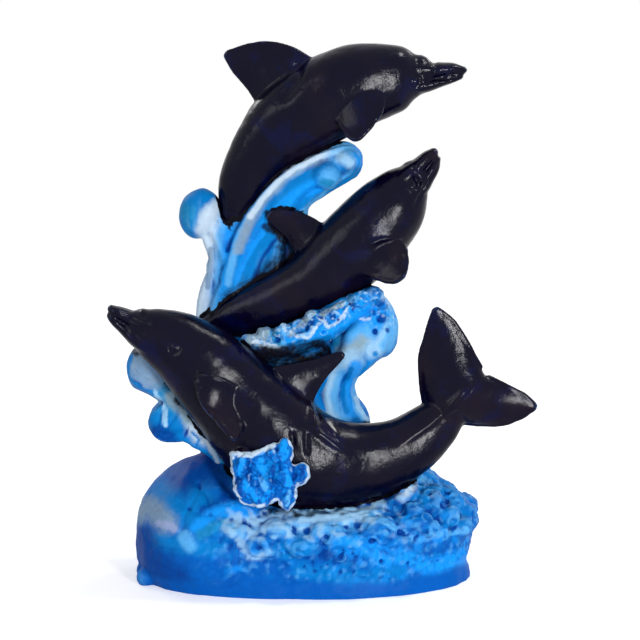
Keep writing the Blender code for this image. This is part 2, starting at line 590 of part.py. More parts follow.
def melt(piece):
    """Melt solids that overlap into one skin of small even faces."""
    remesh = piece.modifiers.new("melt", "REMESH")
    remesh.mode = "VOXEL"
    remesh.voxel_size = VOXEL
    apply_all(piece)


def fuse(pieces, cutters):
    """Fuse the solids into one skin, cut the hollows, thin the faces out and cut the foot flat."""
    clay = join(pieces, NAME)
    melt(clay)
    melt(cutters)
    carve = clay.modifiers.new("carve", "BOOLEAN")
    carve.operation = "DIFFERENCE"
    carve.solver = "EXACT"
    carve.object = cutters
    again = clay.modifiers.new("refuse", "REMESH")
    again.mode = "VOXEL"
    again.voxel_size = VOXEL
    smooth = clay.modifiers.new("smooth", "SMOOTH")
    smooth.factor = 0.5
    smooth.iterations = SMOOTH_PASSES
    apply_all(clay)
    mesh = bmesh.new()
    mesh.from_mesh(clay.data)
    keep_outer_shell(mesh)
    bmesh.ops.triangulate(mesh, faces=mesh.faces)
    faces = len(mesh.faces)
    mesh.to_mesh(clay.data)
    mesh.free()
    thin = clay.modifiers.new("thin", "DECIMATE")
    thin.ratio = min(1.0, TRIANGLES / faces)
    apply_all(clay)
    cut_foot_flat(clay)
    clay.data.shade_smooth()
    return clay


def cut_foot_flat(clay):
    mesh = bmesh.new()
    mesh.from_mesh(clay.data)
    cut = bmesh.ops.bisect_plane(mesh, geom=mesh.verts[:] + mesh.edges[:] + mesh.faces[:],
                                 plane_co=(0, 0, 0), plane_no=(0, 0, 1), clear_inner=True)
    rim = [item for item in cut["geom_cut"] if isinstance(item, bmesh.types.BMEdge)]
    bmesh.ops.holes_fill(mesh, edges=rim, sides=0)
    bmesh.ops.triangulate(mesh, faces=mesh.faces)
    bmesh.ops.recalc_face_normals(mesh, faces=mesh.faces)
    mesh.to_mesh(clay.data)
    mesh.free()


def paint():
    material = bpy.data.materials.new("painted_resin")
    material.use_nodes = True
    shader = material.node_tree.nodes["Principled BSDF"]
    shader.inputs["Base Color"].default_value = (0.02, 0.16, 0.55, 1.0)
    shader.inputs["Roughness"].default_value = 0.35
    shader.inputs["Metallic"].default_value = 0.0
    return material


def put_in_collection(name, piece):
    group = bpy.data.collections.new(name)
    bpy.context.scene.collection.children.link(group)
    bpy.context.scene.collection.objects.unlink(piece)
    group.objects.link(piece)


def main():
    for item in list(bpy.data.objects):
        bpy.data.objects.remove(item, do_unlink=True)
    pieces = base() + swelling_water() + tall_wave() + right_wave() + left_wave() + foam_ridge()
    pieces += top_dolphin() + middle_dolphin() + front_dolphin() + splash()
    cutters = join(hollows(), "hollows")
    cutters.hide_render = True
    cutters.display_type = "WIRE"
    figurine = fuse(pieces, cutters)
    figurine.data.materials.append(paint())
    put_in_collection(NAME, figurine)
    put_in_collection("cutters", cutters)


main()
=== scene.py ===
# %% [markdown]
# # A dolphin figurine in painted resin
# Three dolphins leap out of one breaking wave. The real figurine is cast in one piece in a soft mould
# and painted by hand: the water is brushed in blues and whites, the dolphins in a glossy near-black.
# Here it is built the way a sculptor works: rough forms are pushed together, fused into one skin for
# each subject, pressed and pitted with tools, and painted stroke by stroke.

# %% Load the frame
import math
import bpy
import bmesh
import numpy as np
from mathutils import Matrix, Vector, noise
from mathutils.kdtree import KDTree


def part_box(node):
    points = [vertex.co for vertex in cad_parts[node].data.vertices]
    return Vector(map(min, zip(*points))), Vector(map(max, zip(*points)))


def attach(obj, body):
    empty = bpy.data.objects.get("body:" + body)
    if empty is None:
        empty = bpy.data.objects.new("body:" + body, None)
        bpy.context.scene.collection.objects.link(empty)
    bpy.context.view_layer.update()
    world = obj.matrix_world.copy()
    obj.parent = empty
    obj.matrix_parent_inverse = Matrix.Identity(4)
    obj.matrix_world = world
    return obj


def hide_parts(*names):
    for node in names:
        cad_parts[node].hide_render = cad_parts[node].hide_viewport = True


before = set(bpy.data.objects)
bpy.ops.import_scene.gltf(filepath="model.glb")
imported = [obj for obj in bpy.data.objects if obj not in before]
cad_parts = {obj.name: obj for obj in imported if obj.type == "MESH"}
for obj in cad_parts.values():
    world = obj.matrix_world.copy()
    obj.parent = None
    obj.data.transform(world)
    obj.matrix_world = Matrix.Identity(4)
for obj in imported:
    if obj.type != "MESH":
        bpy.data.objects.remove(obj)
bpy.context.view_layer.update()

low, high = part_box("dolphin_figurine")
STEPS = np.array((117.3, 67.1, 149.3))       # the drawing's own size, in steps of about a millimetre
GRID = np.array(high - low) / STEPS
STEP = GRID[2]
print("one step of the drawing in mm:", np.round(GRID * 1000, 4))

# %% [markdown]
# ## The viewpoint
# The photograph looks straight at the front, a little from above, through a long lens. The same
# numbers serve the camera and the painter: a brush stroke is drawn on the front view, as a painter
# sees it, and lands on whatever of the sculpture stands there.

# %% Set up the camera
EYE_RISE = math.radians(9)
EYE_STEPS = 700
EYE_DISTANCE = EYE_STEPS * STEP
SENSOR_WIDTH = 36
LENS_PER_SENSOR = 2500 / 640                 # how much longer the lens is than its sensor is wide
VIEW_MIDDLE = np.array((3.9, 0.0, 72.6)) * GRID
FORWARD = np.array((0.0, math.cos(EYE_RISE), -math.sin(EYE_RISE)))
UPWARD = np.array((0.0, math.sin(EYE_RISE), math.cos(EYE_RISE)))


def put_in_scene(name, data):
    """Make an object of a camera, a mesh or a lamp, and put it into the scene."""
    thing = bpy.data.objects.new(name, data)
    bpy.context.scene.collection.objects.link(thing)
    return thing


def aim(thing, place, target):
    """Move a camera or a lamp to a place and turn it towards a target."""
    thing.location = place
    thing.rotation_euler = (Vector(target) - Vector(place)).to_track_quat("-Z", "Y").to_euler()


lens = bpy.data.cameras.new("camera")
lens.sensor_width = SENSOR_WIDTH
lens.lens = SENSOR_WIDTH * LENS_PER_SENSOR
lens.clip_start = 0.01
camera = put_in_scene("camera", lens)
aim(camera, VIEW_MIDDLE - FORWARD * EYE_DISTANCE, VIEW_MIDDLE)
bpy.context.scene.camera = camera
print("camera at", [round(c, 4) for c in camera.location])

# %% [markdown]
# ## From the sculpture to the view and back
# Strokes, folds and cups are placed by where they show from the front. So two helpers go between a
# place on the sculpture and its spot on the front view. The way back repeats itself a few times,
# because how much nearer things look larger depends on the answer.

# %% Read the front view
VIEW_ROUNDS = 4


def as_seen(points):
    """Where points stand on the front view: steps to the right of and above its middle."""
    offset = points - VIEW_MIDDLE
    nearness = EYE_DISTANCE / (EYE_DISTANCE + offset @ FORWARD)
    return np.column_stack([offset[:, 0] * nearness, (offset @ UPWARD) * nearness]) / STEP


def from_view(across, up, y):
    """The place in metres, at a depth of y steps, that stands at a spot of the front view."""
    nearness = 1.0
    for _ in range(VIEW_ROUNDS):
        z = (up / nearness - y * math.sin(EYE_RISE)) / math.cos(EYE_RISE)
        ahead = y * math.cos(EYE_RISE) - z * math.sin(EYE_RISE)
        nearness = EYE_STEPS / (EYE_STEPS + ahead)
    return VIEW_MIDDLE + np.array((across / nearness, y, z)) * STEP


print("the middle of the view is seen at", as_seen(VIEW_MIDDLE[None, :])[0])

# %% [markdown]
# ## Forms in clay
# Each body, wave and jaw is a loft: an oval that travels along a bent line and swells on its way. A
# few rows of numbers steer it, and a smooth spline fills in between them, which is far easier to
# correct than points pushed one by one.

# %% Places, rows and smooth lines


def at(x, y, z):
    """A place on the drawing, in metres."""
    return np.array((x, y, z)) * GRID


def rows_at(place, rows, rest):
    """Rows moved to a place in metres; what follows X, Y and Z in a row is measured by the rest."""
    table = np.array(rows, dtype=float)
    table[:, :3] = table[:, :3] * GRID + np.array(place)
    table[:, 3:] = table[:, 3:] * rest
    return table


def spline(rows, count):
    """Rows read at even steps along a smooth curve through the given rows."""
    rows = np.array(rows, dtype=float)
    padded = np.vstack([2 * rows[0] - rows[1], rows, 2 * rows[-1] - rows[-2]])
    position = np.linspace(0, len(rows) - 1, count)
    index = np.minimum(position.astype(int), len(rows) - 2)
    t = (position - index)[:, None]
    a, b, c, d = (padded[index + shift] for shift in range(4))
    return 0.5 * (2 * b + (c - a) * t + (2 * a - 5 * b + 4 * c - d) * t ** 2
                  + (3 * b - a - 3 * c + d) * t ** 3)


def directions(points, side):
    """Along, side and up directions at each point of a path."""
    side = np.array(side, dtype=float)
    along = np.gradient(points, axis=0)
    along /= np.linalg.norm(along, axis=1)[:, None]
    across = side[None, :] - along * (along @ side)[:, None]
    across /= np.linalg.norm(across, axis=1)[:, None]
    return along, across, np.cross(along, across)


print("three rows give", len(spline([(0, 0, 0), (1, 0, 1), (2, 0, 0)], 9)), "points of a smooth line")

# %% [markdown]
# ## The loft
# A loft is a run of rings joined into one closed skin. Its ring can be squarer than an oval, and it can
# carry flutes that twist along it, which gives the waves their flow. The ends are rounded by a few
# smaller rings, so no form ends in a flat cut.

# %% Lofts
CAP_ANGLES = np.radians((78, 60, 40, 20))    # where the smaller rings of a round end stand


def skin(rings, tips):
    """Points and faces of a closed skin over a run of rings, with a point beyond each end."""
    count = len(rings[0])
    points = np.vstack([*rings, tips])
    faces = []
    for ring in range(len(rings) - 1):
        for i in range(count):
            j = (i + 1) % count
            faces.append((ring * count + i, ring * count + j,
                          (ring + 1) * count + j, (ring + 1) * count + i))
    last = (len(rings) - 1) * count
    for i in range(count):
        j = (i + 1) % count
        faces.append((j, i, len(points) - 2))
        faces.append((last + i, last + j, len(points) - 1))
    return points, faces


def loft(rows, side=(0, 1, 0), steps=90, around=56, squareness=2.2,
         flutes=0, flute_depth=0.0, twist=0.0):
    """A form along a path. A row is X, Y, Z, half height and half width; its ends are round."""
    table = spline(rows, steps)
    points = table[:, :3]
    along, across, up = directions(points, side)
    angles = np.arange(around) * 2 * math.pi / around
    power = 2 / squareness
    cosines = np.sign(np.cos(angles)) * np.abs(np.cos(angles)) ** power
    sines = np.sign(np.sin(angles)) * np.abs(np.sin(angles)) ** power

    def ring(index, shrink, shift):
        height, width = table[index, 3:5] * shrink
        turn = twist * index / steps if index >= 0 else twist
        swell = 1 - flute_depth * (0.5 - 0.5 * np.cos(flutes * (angles + turn)))
        return (points[index] + along[index] * shift + np.outer(cosines * swell * width, across[index])
                + np.outer(sines * swell * height, up[index]))

    reach = [min(table[0, 3:5]), min(table[-1, 3:5])]
    rings = [ring(0, math.cos(angle), -math.sin(angle) * reach[0]) for angle in CAP_ANGLES]
    rings += [ring(index, 1.0, 0.0) for index in range(steps)]
    rings += [ring(-1, math.cos(angle), math.sin(angle) * reach[1]) for angle in reversed(CAP_ANGLES)]
    return skin(rings, (points[0] - along[0] * reach[0], points[-1] + along[-1] * reach[1]))


print("a plain loft has", len(loft([(0, 0, 0, 1, 1), (0, 0, 2, 1, 1)])[1]), "faces")

# %% [markdown]
# ## The lump
# Eyes, drops, curled wave ends and the heaps of foam all start as egg-shaped lumps. A lump is a skin
# over level rings, stretched and turned by a matrix.

# %% Lumps


def lump(place, radii, turn=(0, 0, 0), detail=(28, 18)):
    """An egg-shaped lump, its radii given along X, Y and Z before it is turned."""
    turned = Matrix.Translation(place)
    for angle, axis in zip(reversed(turn), "ZYX"):
        turned = turned @ Matrix.Rotation(math.radians(angle), 4, axis)
    turned = np.array(turned @ Matrix.Diagonal((*radii, 1.0)))
    rings = []
    for level in range(1, detail[1]):
        tilt = math.pi * level / detail[1]
        angles = np.arange(detail[0]) * 2 * math.pi / detail[0]
        rings.append(np.column_stack([np.cos(angles) * math.sin(tilt), np.sin(angles) * math.sin(tilt),
                                      np.full(detail[0], -math.cos(tilt))]))
    points, faces = skin(rings, ((0, 0, -1), (0, 0, 1)))
    return points @ turned[:3, :3].T + turned[:3, 3], faces


print("a test lump has", len(lump((0, 0, 0), (1, 1, 1))[1]), "faces")

# %% [markdown]
# ## Fins and jaws
# A fin is two curved edges, from its front and its rear to a rounded tip, filled with flat ovals that
# are thick at the root. It has a rim along its edge, because a casting shows thick rounded edges. The
# jaws are two short lofts, one over the other, and the slit where they meet is the mouth. A fin is
# placed by a share of the body's length and an angle round it, and the jaws where the body ends, so
# all of them follow when the body is bent.

# %% Fins and jaws
STATIONS = 200                               # how finely a body's length is divided
FIN_THICKNESS = 3.0 * STEP
FIN_THINNING, FIN_ROOT = 0.62, 1.8           # how a fin thins towards its tip and thickens at its root
FIN_AROUND, FIN_RINGS = 28, 50
TIP_START, TIP_RISE = 0.75, 0.58             # where a fin starts to round off, and how far it rises


def body_frame(body, station):
    """The row and the along, side and up directions of a body at a share of its length."""
    table = spline(body["rows"], STATIONS + 1)
    along, across, up = directions(table[:, :3], body["side"])
    index = min(STATIONS, max(0, round(station * STATIONS)))
    return table[index], along[index], across[index], up[index]


def on_body(body, station, angle, sink=0.0):
    """A point on a body's skin; angle 90 is the back, 0 and 180 are its sides."""
    row, _, across, up = body_frame(body, station)
    turn = math.radians(angle)
    return row[:3] + (math.cos(turn) * row[4] * across + math.sin(turn) * row[3] * up) * (1 - sink)


def bezier(start, control, end, t):
    """A point at a share of a curve that is pulled towards one control point."""
    start, control, end = (np.array(p, dtype=float) for p in (start, control, end))
    return start * (1 - t) ** 2 + control * 2 * t * (1 - t) + end * t ** 2


def fin(body, station, seat, lean, outline, thick, tip, sink=0.35, curl=0.0, rim=0.0):
    """A fin in the plane of the body's length and a leaning direction, with a rim along its edge."""
    along, across, up = body_frame(body, station)[1:]
    origin = on_body(body, station, seat, sink)
    out = math.cos(math.radians(lean)) * across + math.sin(math.radians(lean)) * up
    normal = np.cross(along, out)
    front, lead, end, trail, rear = outline
    corners = ((end[0] + tip / 2, end[1] - tip / 4), (end[0] - tip / 2, end[1] - tip / 4))
    angles = np.arange(FIN_AROUND) * 2 * math.pi / FIN_AROUND
    rings, edges = [], ([], [])
    for t in np.linspace(0, 0.995, FIN_RINGS):
        tipward = max(0.0, (t - TIP_START) / (1 - TIP_START))
        rise = normal * curl * t * t + out * tipward * TIP_RISE * tip
        ends = [origin + (along * flat[0] + out * flat[1] + rise) * STEP
                for flat in (bezier(front, lead, corners[0], t), bezier(rear, trail, corners[1], t))]
        middle = (ends[0] + ends[1]) / 2
        chord = (ends[0] - ends[1]) / 2 * math.sqrt(1 - tipward ** 2)
        edges[0].append(middle + chord)
        edges[1].append(middle - chord)
        half = FIN_THICKNESS * thick * (1 - FIN_THINNING * t + FIN_ROOT * (1 - t) ** 3) / 2
        rings.append(middle + np.outer(np.cos(angles), chord) + np.outer(np.sin(angles) * half, normal))
    forms = [skin(rings, (rings[0].mean(axis=0) - out * 0.5 * STEP, middle + out * 0.05 * STEP))]
    if rim:
        path = np.array(edges[0][6:] + edges[1][-2:5:-1])
        forms.append(loft(np.column_stack([path, np.full((len(path), 2), rim * STEP)]), normal, 120, 12))
    return forms


def jaws(body, rows):
    """Upper beak and lower jaw, whose meeting leaves the groove of the mouth."""
    table = rows_at(body["rows"][-1][:3], rows, STEP)
    along, _, up = directions(table[:, :3], body["side"])
    forms = []
    for sign, share, setback in ((1, 0.56, 0.0), (-1, 0.48, 0.9)):
        centres = table[:, :3] + up * (sign * table[:, 3] * (1 - share))[:, None] - along * setback * STEP
        jaw = np.column_stack([centres, table[:, 3] * share, table[:, 3] * 1.05])
        forms.append(loft(jaw, body["side"], 40, 36))
    return forms


print("a fin is", round(FIN_THICKNESS * 1000, 2), "mm thick before it is thinned")

# %% [markdown]
# ## Fusing the clay
# Forms that only overlap would show hard joins. A voxel remesh melts a whole subject into one closed
# skin of small even faces, as clay is smoothed over. The voxel is small for the small details.

# %% Fuse forms into one skin


def fuse(name, forms, voxel, passes=2):
    """One object whose skin encloses all the forms."""
    points, faces = [], []
    count = 0
    for form_points, form_faces in forms:
        points.append(form_points)
        faces += [tuple(index + count for index in face) for face in form_faces]
        count += len(form_points)
    mesh = bpy.data.meshes.new(name)
    mesh.from_pydata(np.vstack(points).tolist(), [], faces)
    piece = put_in_scene(name, mesh)
    remesh = piece.modifiers.new("fuse", "REMESH")
    remesh.mode = "VOXEL"
    remesh.voxel_size = voxel * STEP
    soften = piece.modifiers.new("soften", "SMOOTH")
    soften.iterations = passes
    graph = bpy.context.evaluated_depsgraph_get()
    piece.data = bpy.data.meshes.new_from_object(piece.evaluated_get(graph))
    piece.modifiers.clear()
    return piece


print("forms can be fused; a voxel of one step would be", round(STEP * 1000, 3), "mm")

# %% [markdown]
# ## Clay that can be pushed
# Once fused, a piece is worked like clay: its points move in or out along the way that the skin faces.
# One small class holds the points and normals of a piece and where they stand on the front view, and
# reads them again after every push, so the next tool meets the new surface.

# %% Hold a piece as clay


class Clay:
    """A piece's points with their normals, and where they stand on the front view."""

    def __init__(self, piece):
        self.piece = piece
        self.read()

    def read(self):
        mesh = self.piece.data
        self.points = np.zeros(len(mesh.vertices) * 3)
        mesh.vertices.foreach_get("co", self.points)
        self.points = self.points.reshape(-1, 3)
        self.normals = np.zeros(len(mesh.vertices) * 3)
        mesh.vertex_normals.foreach_get("vector", self.normals)
        self.normals = self.normals.reshape(-1, 3)
        self.seen = as_seen(self.points)
        self.facing = -(self.normals @ FORWARD)

    def push(self, distance):
        """Move each point out along its normal by a distance in steps, or in where it is negative."""
        self.points += self.normals * (distance * STEP)[:, None]
        self.piece.data.vertices.foreach_set("co", self.points.ravel())
        self.piece.data.update()
        self.read()


print("clay can be pushed; a push of 1 moves a point", round(STEP * 1000, 3), "mm")

# %% [markdown]
# ## Noise, soft steps and distances
# Three measures are enough to steer every tool: soft random patches, a smooth step, and how far each
# point stands from a path drawn on the front view. The patches come from Blender's own noise, which
# always gives the same values at the same place, so the figurine comes out the same on each run.

# %% Patches, steps and distances
SEED_SHIFT = 7.31                            # each seed moves the noise on by this much


def clouds(points, size, seed=0):
    """Soft random values from -1 to 1, in patches of a size in steps."""
    spots = points / (np.array(size) * STEP) + seed * SEED_SHIFT
    return np.array([noise.noise(spot) for spot in spots.tolist()])


def smooth(value):
    """A soft step from 0 to 1."""
    value = np.clip(value, 0.0, 1.0)
    return value * value * (3 - 2 * value)


def reach_of(seen, path):
    """Distance of each seen point from a path drawn on the front view, and the share along it."""
    path = np.array(path, dtype=float)
    if len(path) > 2:
        path = spline(path, 4 * len(path))
    if len(path) == 1:
        return np.linalg.norm(seen - path[0], axis=1), np.zeros(len(seen))
    best = np.full(len(seen), 1e9)
    share = np.zeros(len(seen))
    for index, (start, end) in enumerate(zip(path, path[1:])):
        leg = end - start
        t = np.clip(((seen - start) @ leg) / max(leg @ leg, 1e-12), 0, 1)
        away = np.linalg.norm(seen - start - t[:, None] * leg, axis=1)
        nearer = away < best
        best[nearer] = away[nearer]
        share[nearer] = (index + t[nearer]) / (len(path) - 1)
    return best, share


print("a soft step at its middle:", smooth(np.array([0.5]))[0])

# %% [markdown]
# ## A groove
# Skin folds, creases and the lines of the flow are pressed with one tool, a groove that runs along a
# path. The same tool with a negative depth raises a soft fold.

# %% Press a groove


def in_reach(clay, path, width, turned_away):
    """Which points a stroke or a groove can touch: near its path, and not facing too far away."""
    half_span = np.ptp(path, axis=0) / 2 + width + 2
    near = (np.abs(clay.seen - np.mean(path, axis=0)) < half_span).all(axis=1)
    return near & (clay.facing > turned_away)


def groove(clay, path, width, depth, taper=0.0):
    """Press a groove along a path on the front view; a negative depth raises a ridge."""
    near = in_reach(clay, path, 3 * width, -0.2)
    away, share = reach_of(clay.seen[near], path)
    ends = 1 - taper * np.abs(2 * share - 1) ** 3
    distance = np.zeros(len(clay.points))
    distance[near] = -depth * ends * np.exp(-(away / width) ** 2)
    clay.push(distance)


print("a spot beside a short path is", reach_of(np.array([(1, 1)]), [(0, 0), (2, 0)])[0][0], "step from it")

# %% [markdown]
# ## The three dolphins
# A dolphin is a fat spindle with a bulging brow, a short beak, a hooked fin on its back, paddle-like
# flippers and two flukes. Each one is a row table for the body, a short one for the jaws and a list of
# fins. Folds and creases are pressed in along short paths, as with the edge of a wooden tool.
#
# A row of the body says how far right, back and up it stands, and how thick it is as a share of the
# girth. The front dolphin comes first: it lies curled like a bowl, with its flukes up at the right.

# %% Draw the front dolphin
FRONT = dict(
    place=at(-4, -13, 37), side=(0, -1, 0), girth=15.0, ratio=0.80, eye=(0.85, 1, 179),
    body=[(50.5, 2.5, 18.5, 0.22), (46.5, 3, 14.0, 0.27), (40.4, 3, 8.2, 0.46), (31.5, 2, 1.4, 0.60),
          (20.4, 1, -2.3, 0.72), (8.5, 0, -2.6, 0.92), (-1.5, 0, 1.0, 1.0), (-9.0, 0, 8.8, 0.95),
          (-16.8, 0, 17.2, 0.86), (-24.5, -1, 25.2, 0.76), (-31.0, -1, 30.6, 0.64),
          (-37.5, -2, 34.2, 0.49), (-41.5, -2, 36.0, 0.36)],
    drops=[(0.56, -32, (3.4, 2.4, 2.2), (0, 28, 0))],
    marks=[([(-57.1, 1.7), (-54.3, 1.1), (-51.0, -0.3), (-48.2, -2.2), (-45.4, -5.0)], 0.45, 0.55),
           ([(-51.2, 3.9), (-50.4, 2.0), (-48.7, 0.6)], 0.7, 0.5),
           ([(-3.6, -21.3), (-2.2, -25.8), (-1.1, -30.8), (1.7, -33.3), (7.0, -37.0)], 1.0, -1.0),
           ([(0.0, -27.4), (4.5, -32.5)], 0.9, -0.7),
           ([(-1.4, -24.0), (1.0, -29.0), (5.0, -33.6)], 0.5, 0.6),
           ([(-7.8, -31.1), (-7.3, -35.6)], 0.6, 0.7), ([(-3.9, -31.6), (-3.6, -37.8)], 0.6, 0.7),
           ([(22.4, -35.0), (32.2, -28.0), (42.0, -18.2)], 0.9, -0.5)],
    jaws=[(6.0, 1.0, -3.6, 6.2), (0.5, 0, -1.2, 4.9), (-3.4, 0, 1.2, 3.7), (-6.6, -1, 3.5, 2.6),
          (-8.2, -1, 4.7, 1.8)],
    fins=[dict(station=0.60, seat=90, lean=90, thick=1.2, tip=2.4, rim=0.7,
               outline=[(10, -1), (1.5, 10), (-3.9, 20.5), (-3.5, 9), (-12, -1)]),
          dict(station=0.70, seat=-12, lean=-62, thick=1.1, tip=3.6, sink=0.02, curl=4.4, rim=0.75,
               outline=[(8.1, -1.5), (1, 6.5), (-10.5, 5.0), (-9.5, -1.5), (-4, -6)]),
          dict(station=0.70, seat=200, lean=235, thick=1.0, tip=3.0, rim=0.6,
               outline=[(6, -3), (2, 7), (-8, 10), (-6, 5), (-6, -3)]),
          dict(station=0.03, seat=90, lean=90, thick=1.5, tip=3.2, rim=0.7,
               outline=[(14.0, -0.5), (3.6, 17.5), (-11.8, 19.2), (-12.0, 10), (-6.3, -3)]),
          dict(station=0.03, seat=270, lean=270, thick=1.5, tip=3.2, rim=0.7,
               outline=[(10.5, -3), (1.8, 15), (-8.6, 13.3), (-9, 5.4), (-6.3, -3)])])
print("front dolphin:", len(FRONT["body"]), "rows and", len(FRONT["fins"]), "fins")

# %% [markdown]
# ## The middle dolphin
# This one climbs to the right out of the foam, so its tail is hidden in the water and its table starts
# where the skin comes into sight. Its near flipper hangs down over the ridge of foam.

# %% Draw the middle dolphin
MIDDLE = dict(
    place=at(-24, 4, 71.5), side=(0, 1, 0), girth=10.8, ratio=0.92, eye=(0.94, -9, 189),
    body=[(-6.5, 0, -3.5, 0.24), (0.0, 0, 0.0, 0.42), (9.6, -1, 3.4, 0.64), (24.5, -2, 10.2, 0.84),
          (35.2, -2, 19.2, 1.02), (42.4, -2, 26.4, 1.02), (48.2, -2, 33.2, 0.90),
          (52.0, -2, 38.4, 0.66), (54.2, -2, 41.4, 0.44)],
    marks=[([(26.3, 31.6), (28.0, 34.7), (30.2, 38.6), (32.5, 42.0), (33.6, 44.8)], 0.45, 0.5),
           ([(25.8, 44.0), (26.6, 42.0), (26.9, 39.8), (28.0, 37.5)], 0.7, 0.6),
           ([(12.9, 20.7), (16.8, 22.4), (21.3, 23.0)], 0.8, -0.6)],
    jaws=[(-4.0, 0, -4.8, 6.0), (0.2, 0, -0.8, 5.2), (2.4, 0, 1.6, 4.2), (4.6, 0, 4.3, 3.3),
          (6.0, 0, 6.0, 2.1)],
    fins=[dict(station=0.42, seat=90, lean=90, thick=1.2, tip=4.6, rim=0.7,
               outline=[(10.5, -1.5), (6.5, 15.2), (-0.4, 14.9), (1.8, 8), (-4.0, -1.5)]),
          dict(station=0.52, seat=205, lean=240, thick=1.3, tip=5.6, curl=-1.5, rim=0.75,
               outline=[(9.5, -3), (15.5, 8.4), (5.6, 11.2), (0.0, 9), (-2, -3)]),
          dict(station=0.52, seat=-25, lean=-55, thick=1.0, tip=4.0, rim=0.7,
               outline=[(9, -3), (12, 7), (1, 11), (-5, 8), (-6, -3)])])
print("middle dolphin:", len(MIDDLE["body"]), "rows and", len(MIDDLE["fins"]), "fins")

# %% [markdown]
# ## The top dolphin
# The highest one bends over in front of the tall wave. Its back fin is the broadest of the three.

# %% Draw the top dolphin
TOP = dict(
    place=at(-21, 9, 97), side=(0, 1, 0), girth=12.0, ratio=0.84, eye=(0.97, -14, 194),
    body=[(-0.5, 0, -7.0, 0.12), (0.1, 0, 1.0, 0.25), (2.4, 0, 10.6, 0.52), (7.5, 0, 21.1, 0.70),
          (17.3, 0, 30.9, 0.96), (31.9, -1, 39.3, 1.0), (45.8, -1, 42.7, 0.80),
          (52.3, -1, 43.6, 0.47)],
    marks=[([(30.0, 66.4), (32.2, 67.5), (35.3, 67.5), (38.1, 67.9), (41.2, 68.2)], 0.45, 0.5),
           ([(31.4, 72.8), (32.5, 71.1), (32.2, 69.4), (30.8, 68.3)], 0.6, 0.55),
           ([(-6.2, 72.2), (-6.4, 68.3), (-8.4, 64.4), (-11.2, 61.3)], 1.6, 0.9)],
    jaws=[(-3.0, 0, -0.6, 5.2), (2.5, 0, -0.6, 4.4), (6.2, 0, -0.1, 3.5), (9.6, 0, 0.4, 2.9),
          (12.8, 0, 0.5, 1.8)],
    fins=[dict(station=0.58, seat=90, lean=90, thick=1.2, tip=3.4, rim=0.7,
               outline=[(14.5, -1.5), (9.5, 17.5), (-5.0, 17.2), (-5.0, 9.5), (-6.4, -3)]),
          dict(station=0.72, seat=195, lean=235, thick=1.1, tip=4.0, rim=0.7,
               outline=[(10, -2), (9, 10.5), (-1.8, 12.0), (-5, 9), (-6, -3)]),
          dict(station=0.70, seat=-20, lean=-55, thick=1.0, tip=4.0, rim=0.6,
               outline=[(7, -3), (6, 8), (-3, 12), (-6, 8), (-6, -3)])])
print("top dolphin:", len(TOP["body"]), "rows and", len(TOP["fins"]), "fins")

# %% [markdown]
# ## From the tables to dolphins
# The same few moves make all three: loft the body, set on jaws, fins and eyes, fuse them, press a ring
# round each eye, press the folds, and leave the skin as uneven as hand work does.

# %% Model the dolphins
EYE_RADIUS = 1.1
EYE_RING, EYE_LID = 1.5, 2.3                 # how far the socket and the soft lid stand from the eye
DOLPHIN_VOXEL = 0.40


def dolphin(name, shape):
    """Fuse one dolphin, press its eye rings and give its skin the slight unevenness of hand work."""
    table = rows_at(shape["place"], shape["body"], shape["girth"] * STEP)
    body = {"rows": np.column_stack([table, table[:, 3] * shape["ratio"]]), "side": shape["side"]}
    forms = [loft(body["rows"], body["side"], 130, 64)] + jaws(body, shape["jaws"])
    for one in shape["fins"]:
        forms += fin(body, **one)
    station, *sides = shape["eye"]
    eyes = [on_body(body, station, angle, 0.08) for angle in sides]
    forms += [lump(eye, (EYE_RADIUS * STEP,) * 3) for eye in eyes]
    for place, angle, radii, turn in shape.get("drops", ()):
        forms.append(lump(on_body(body, place, angle, 0.02), at(*radii), turn))
    clay = Clay(fuse(name, forms, DOLPHIN_VOXEL, 5))
    for eye in eyes:
        away = np.linalg.norm(clay.points - eye, axis=1) / STEP
        clay.push(-0.26 * np.exp(-((away - EYE_RING) / 0.36) ** 2)
                  + 0.12 * np.exp(-((away - EYE_LID) / 0.5) ** 2))
    for path, width, depth in shape["marks"]:
        groove(clay, path, width, depth, taper=0.8)
    clay.push(0.26 * clouds(clay.points, 7, seed=1) + 0.06 * clouds(clay.points, 2.4, seed=2))
    return clay


def report(clay):
    """Print how fine a piece has come out."""
    print(clay.piece.name, sum(len(face.vertices) - 2 for face in clay.piece.data.polygons), "triangles")


front = dolphin("front_dolphin", FRONT)
middle = dolphin("middle_dolphin", MIDDLE)
top = dolphin("top_dolphin", TOP)
for clay in (front, middle, top):
    report(clay)

# %% [markdown]
# ## The breaking wave
# The water is cast with the dolphins, but it is worked quite differently: long smooth flutes that run
# with the flow, curled ends like fists, and foam that is a crust of little cups and pits. The flutes
# come from the lofts themselves. The foam is pressed in afterwards, cup by cup.

# %% Press foam into the clay
FAR_SIDE, BEHIND = 50.0, 0.03                # what counts against a point turned away, or behind
CUP_EDGE, CUP_RIM = 1.12, 0.26               # where a cup's lip stands and how wide it is


def on_clay(clay, seen):
    """The point of the clay that stands nearest to a spot of the front view and faces it."""
    away = np.linalg.norm(clay.seen - np.array(seen), axis=1)
    away = away + np.where(clay.facing > 0.1, 0.0, FAR_SIDE) + (clay.points @ FORWARD) / STEP * BEHIND
    return clay.points[np.argmin(away)]


def cup(clay, place, radius, depth, lip=0.35, oval=(1.0, 1.0, 1.0)):
    """Press a cup with a raised lip round it; several together look like foam."""
    away = np.linalg.norm((clay.points - place) / np.array(oval), axis=1) / (radius * STEP)
    near = away < 2.2
    distance = np.zeros(len(away))
    distance[near] = (lip * np.exp(-((away[near] - CUP_EDGE) / CUP_RIM) ** 2)
                      - depth * smooth(1.2 - away[near]))
    clay.push(distance)


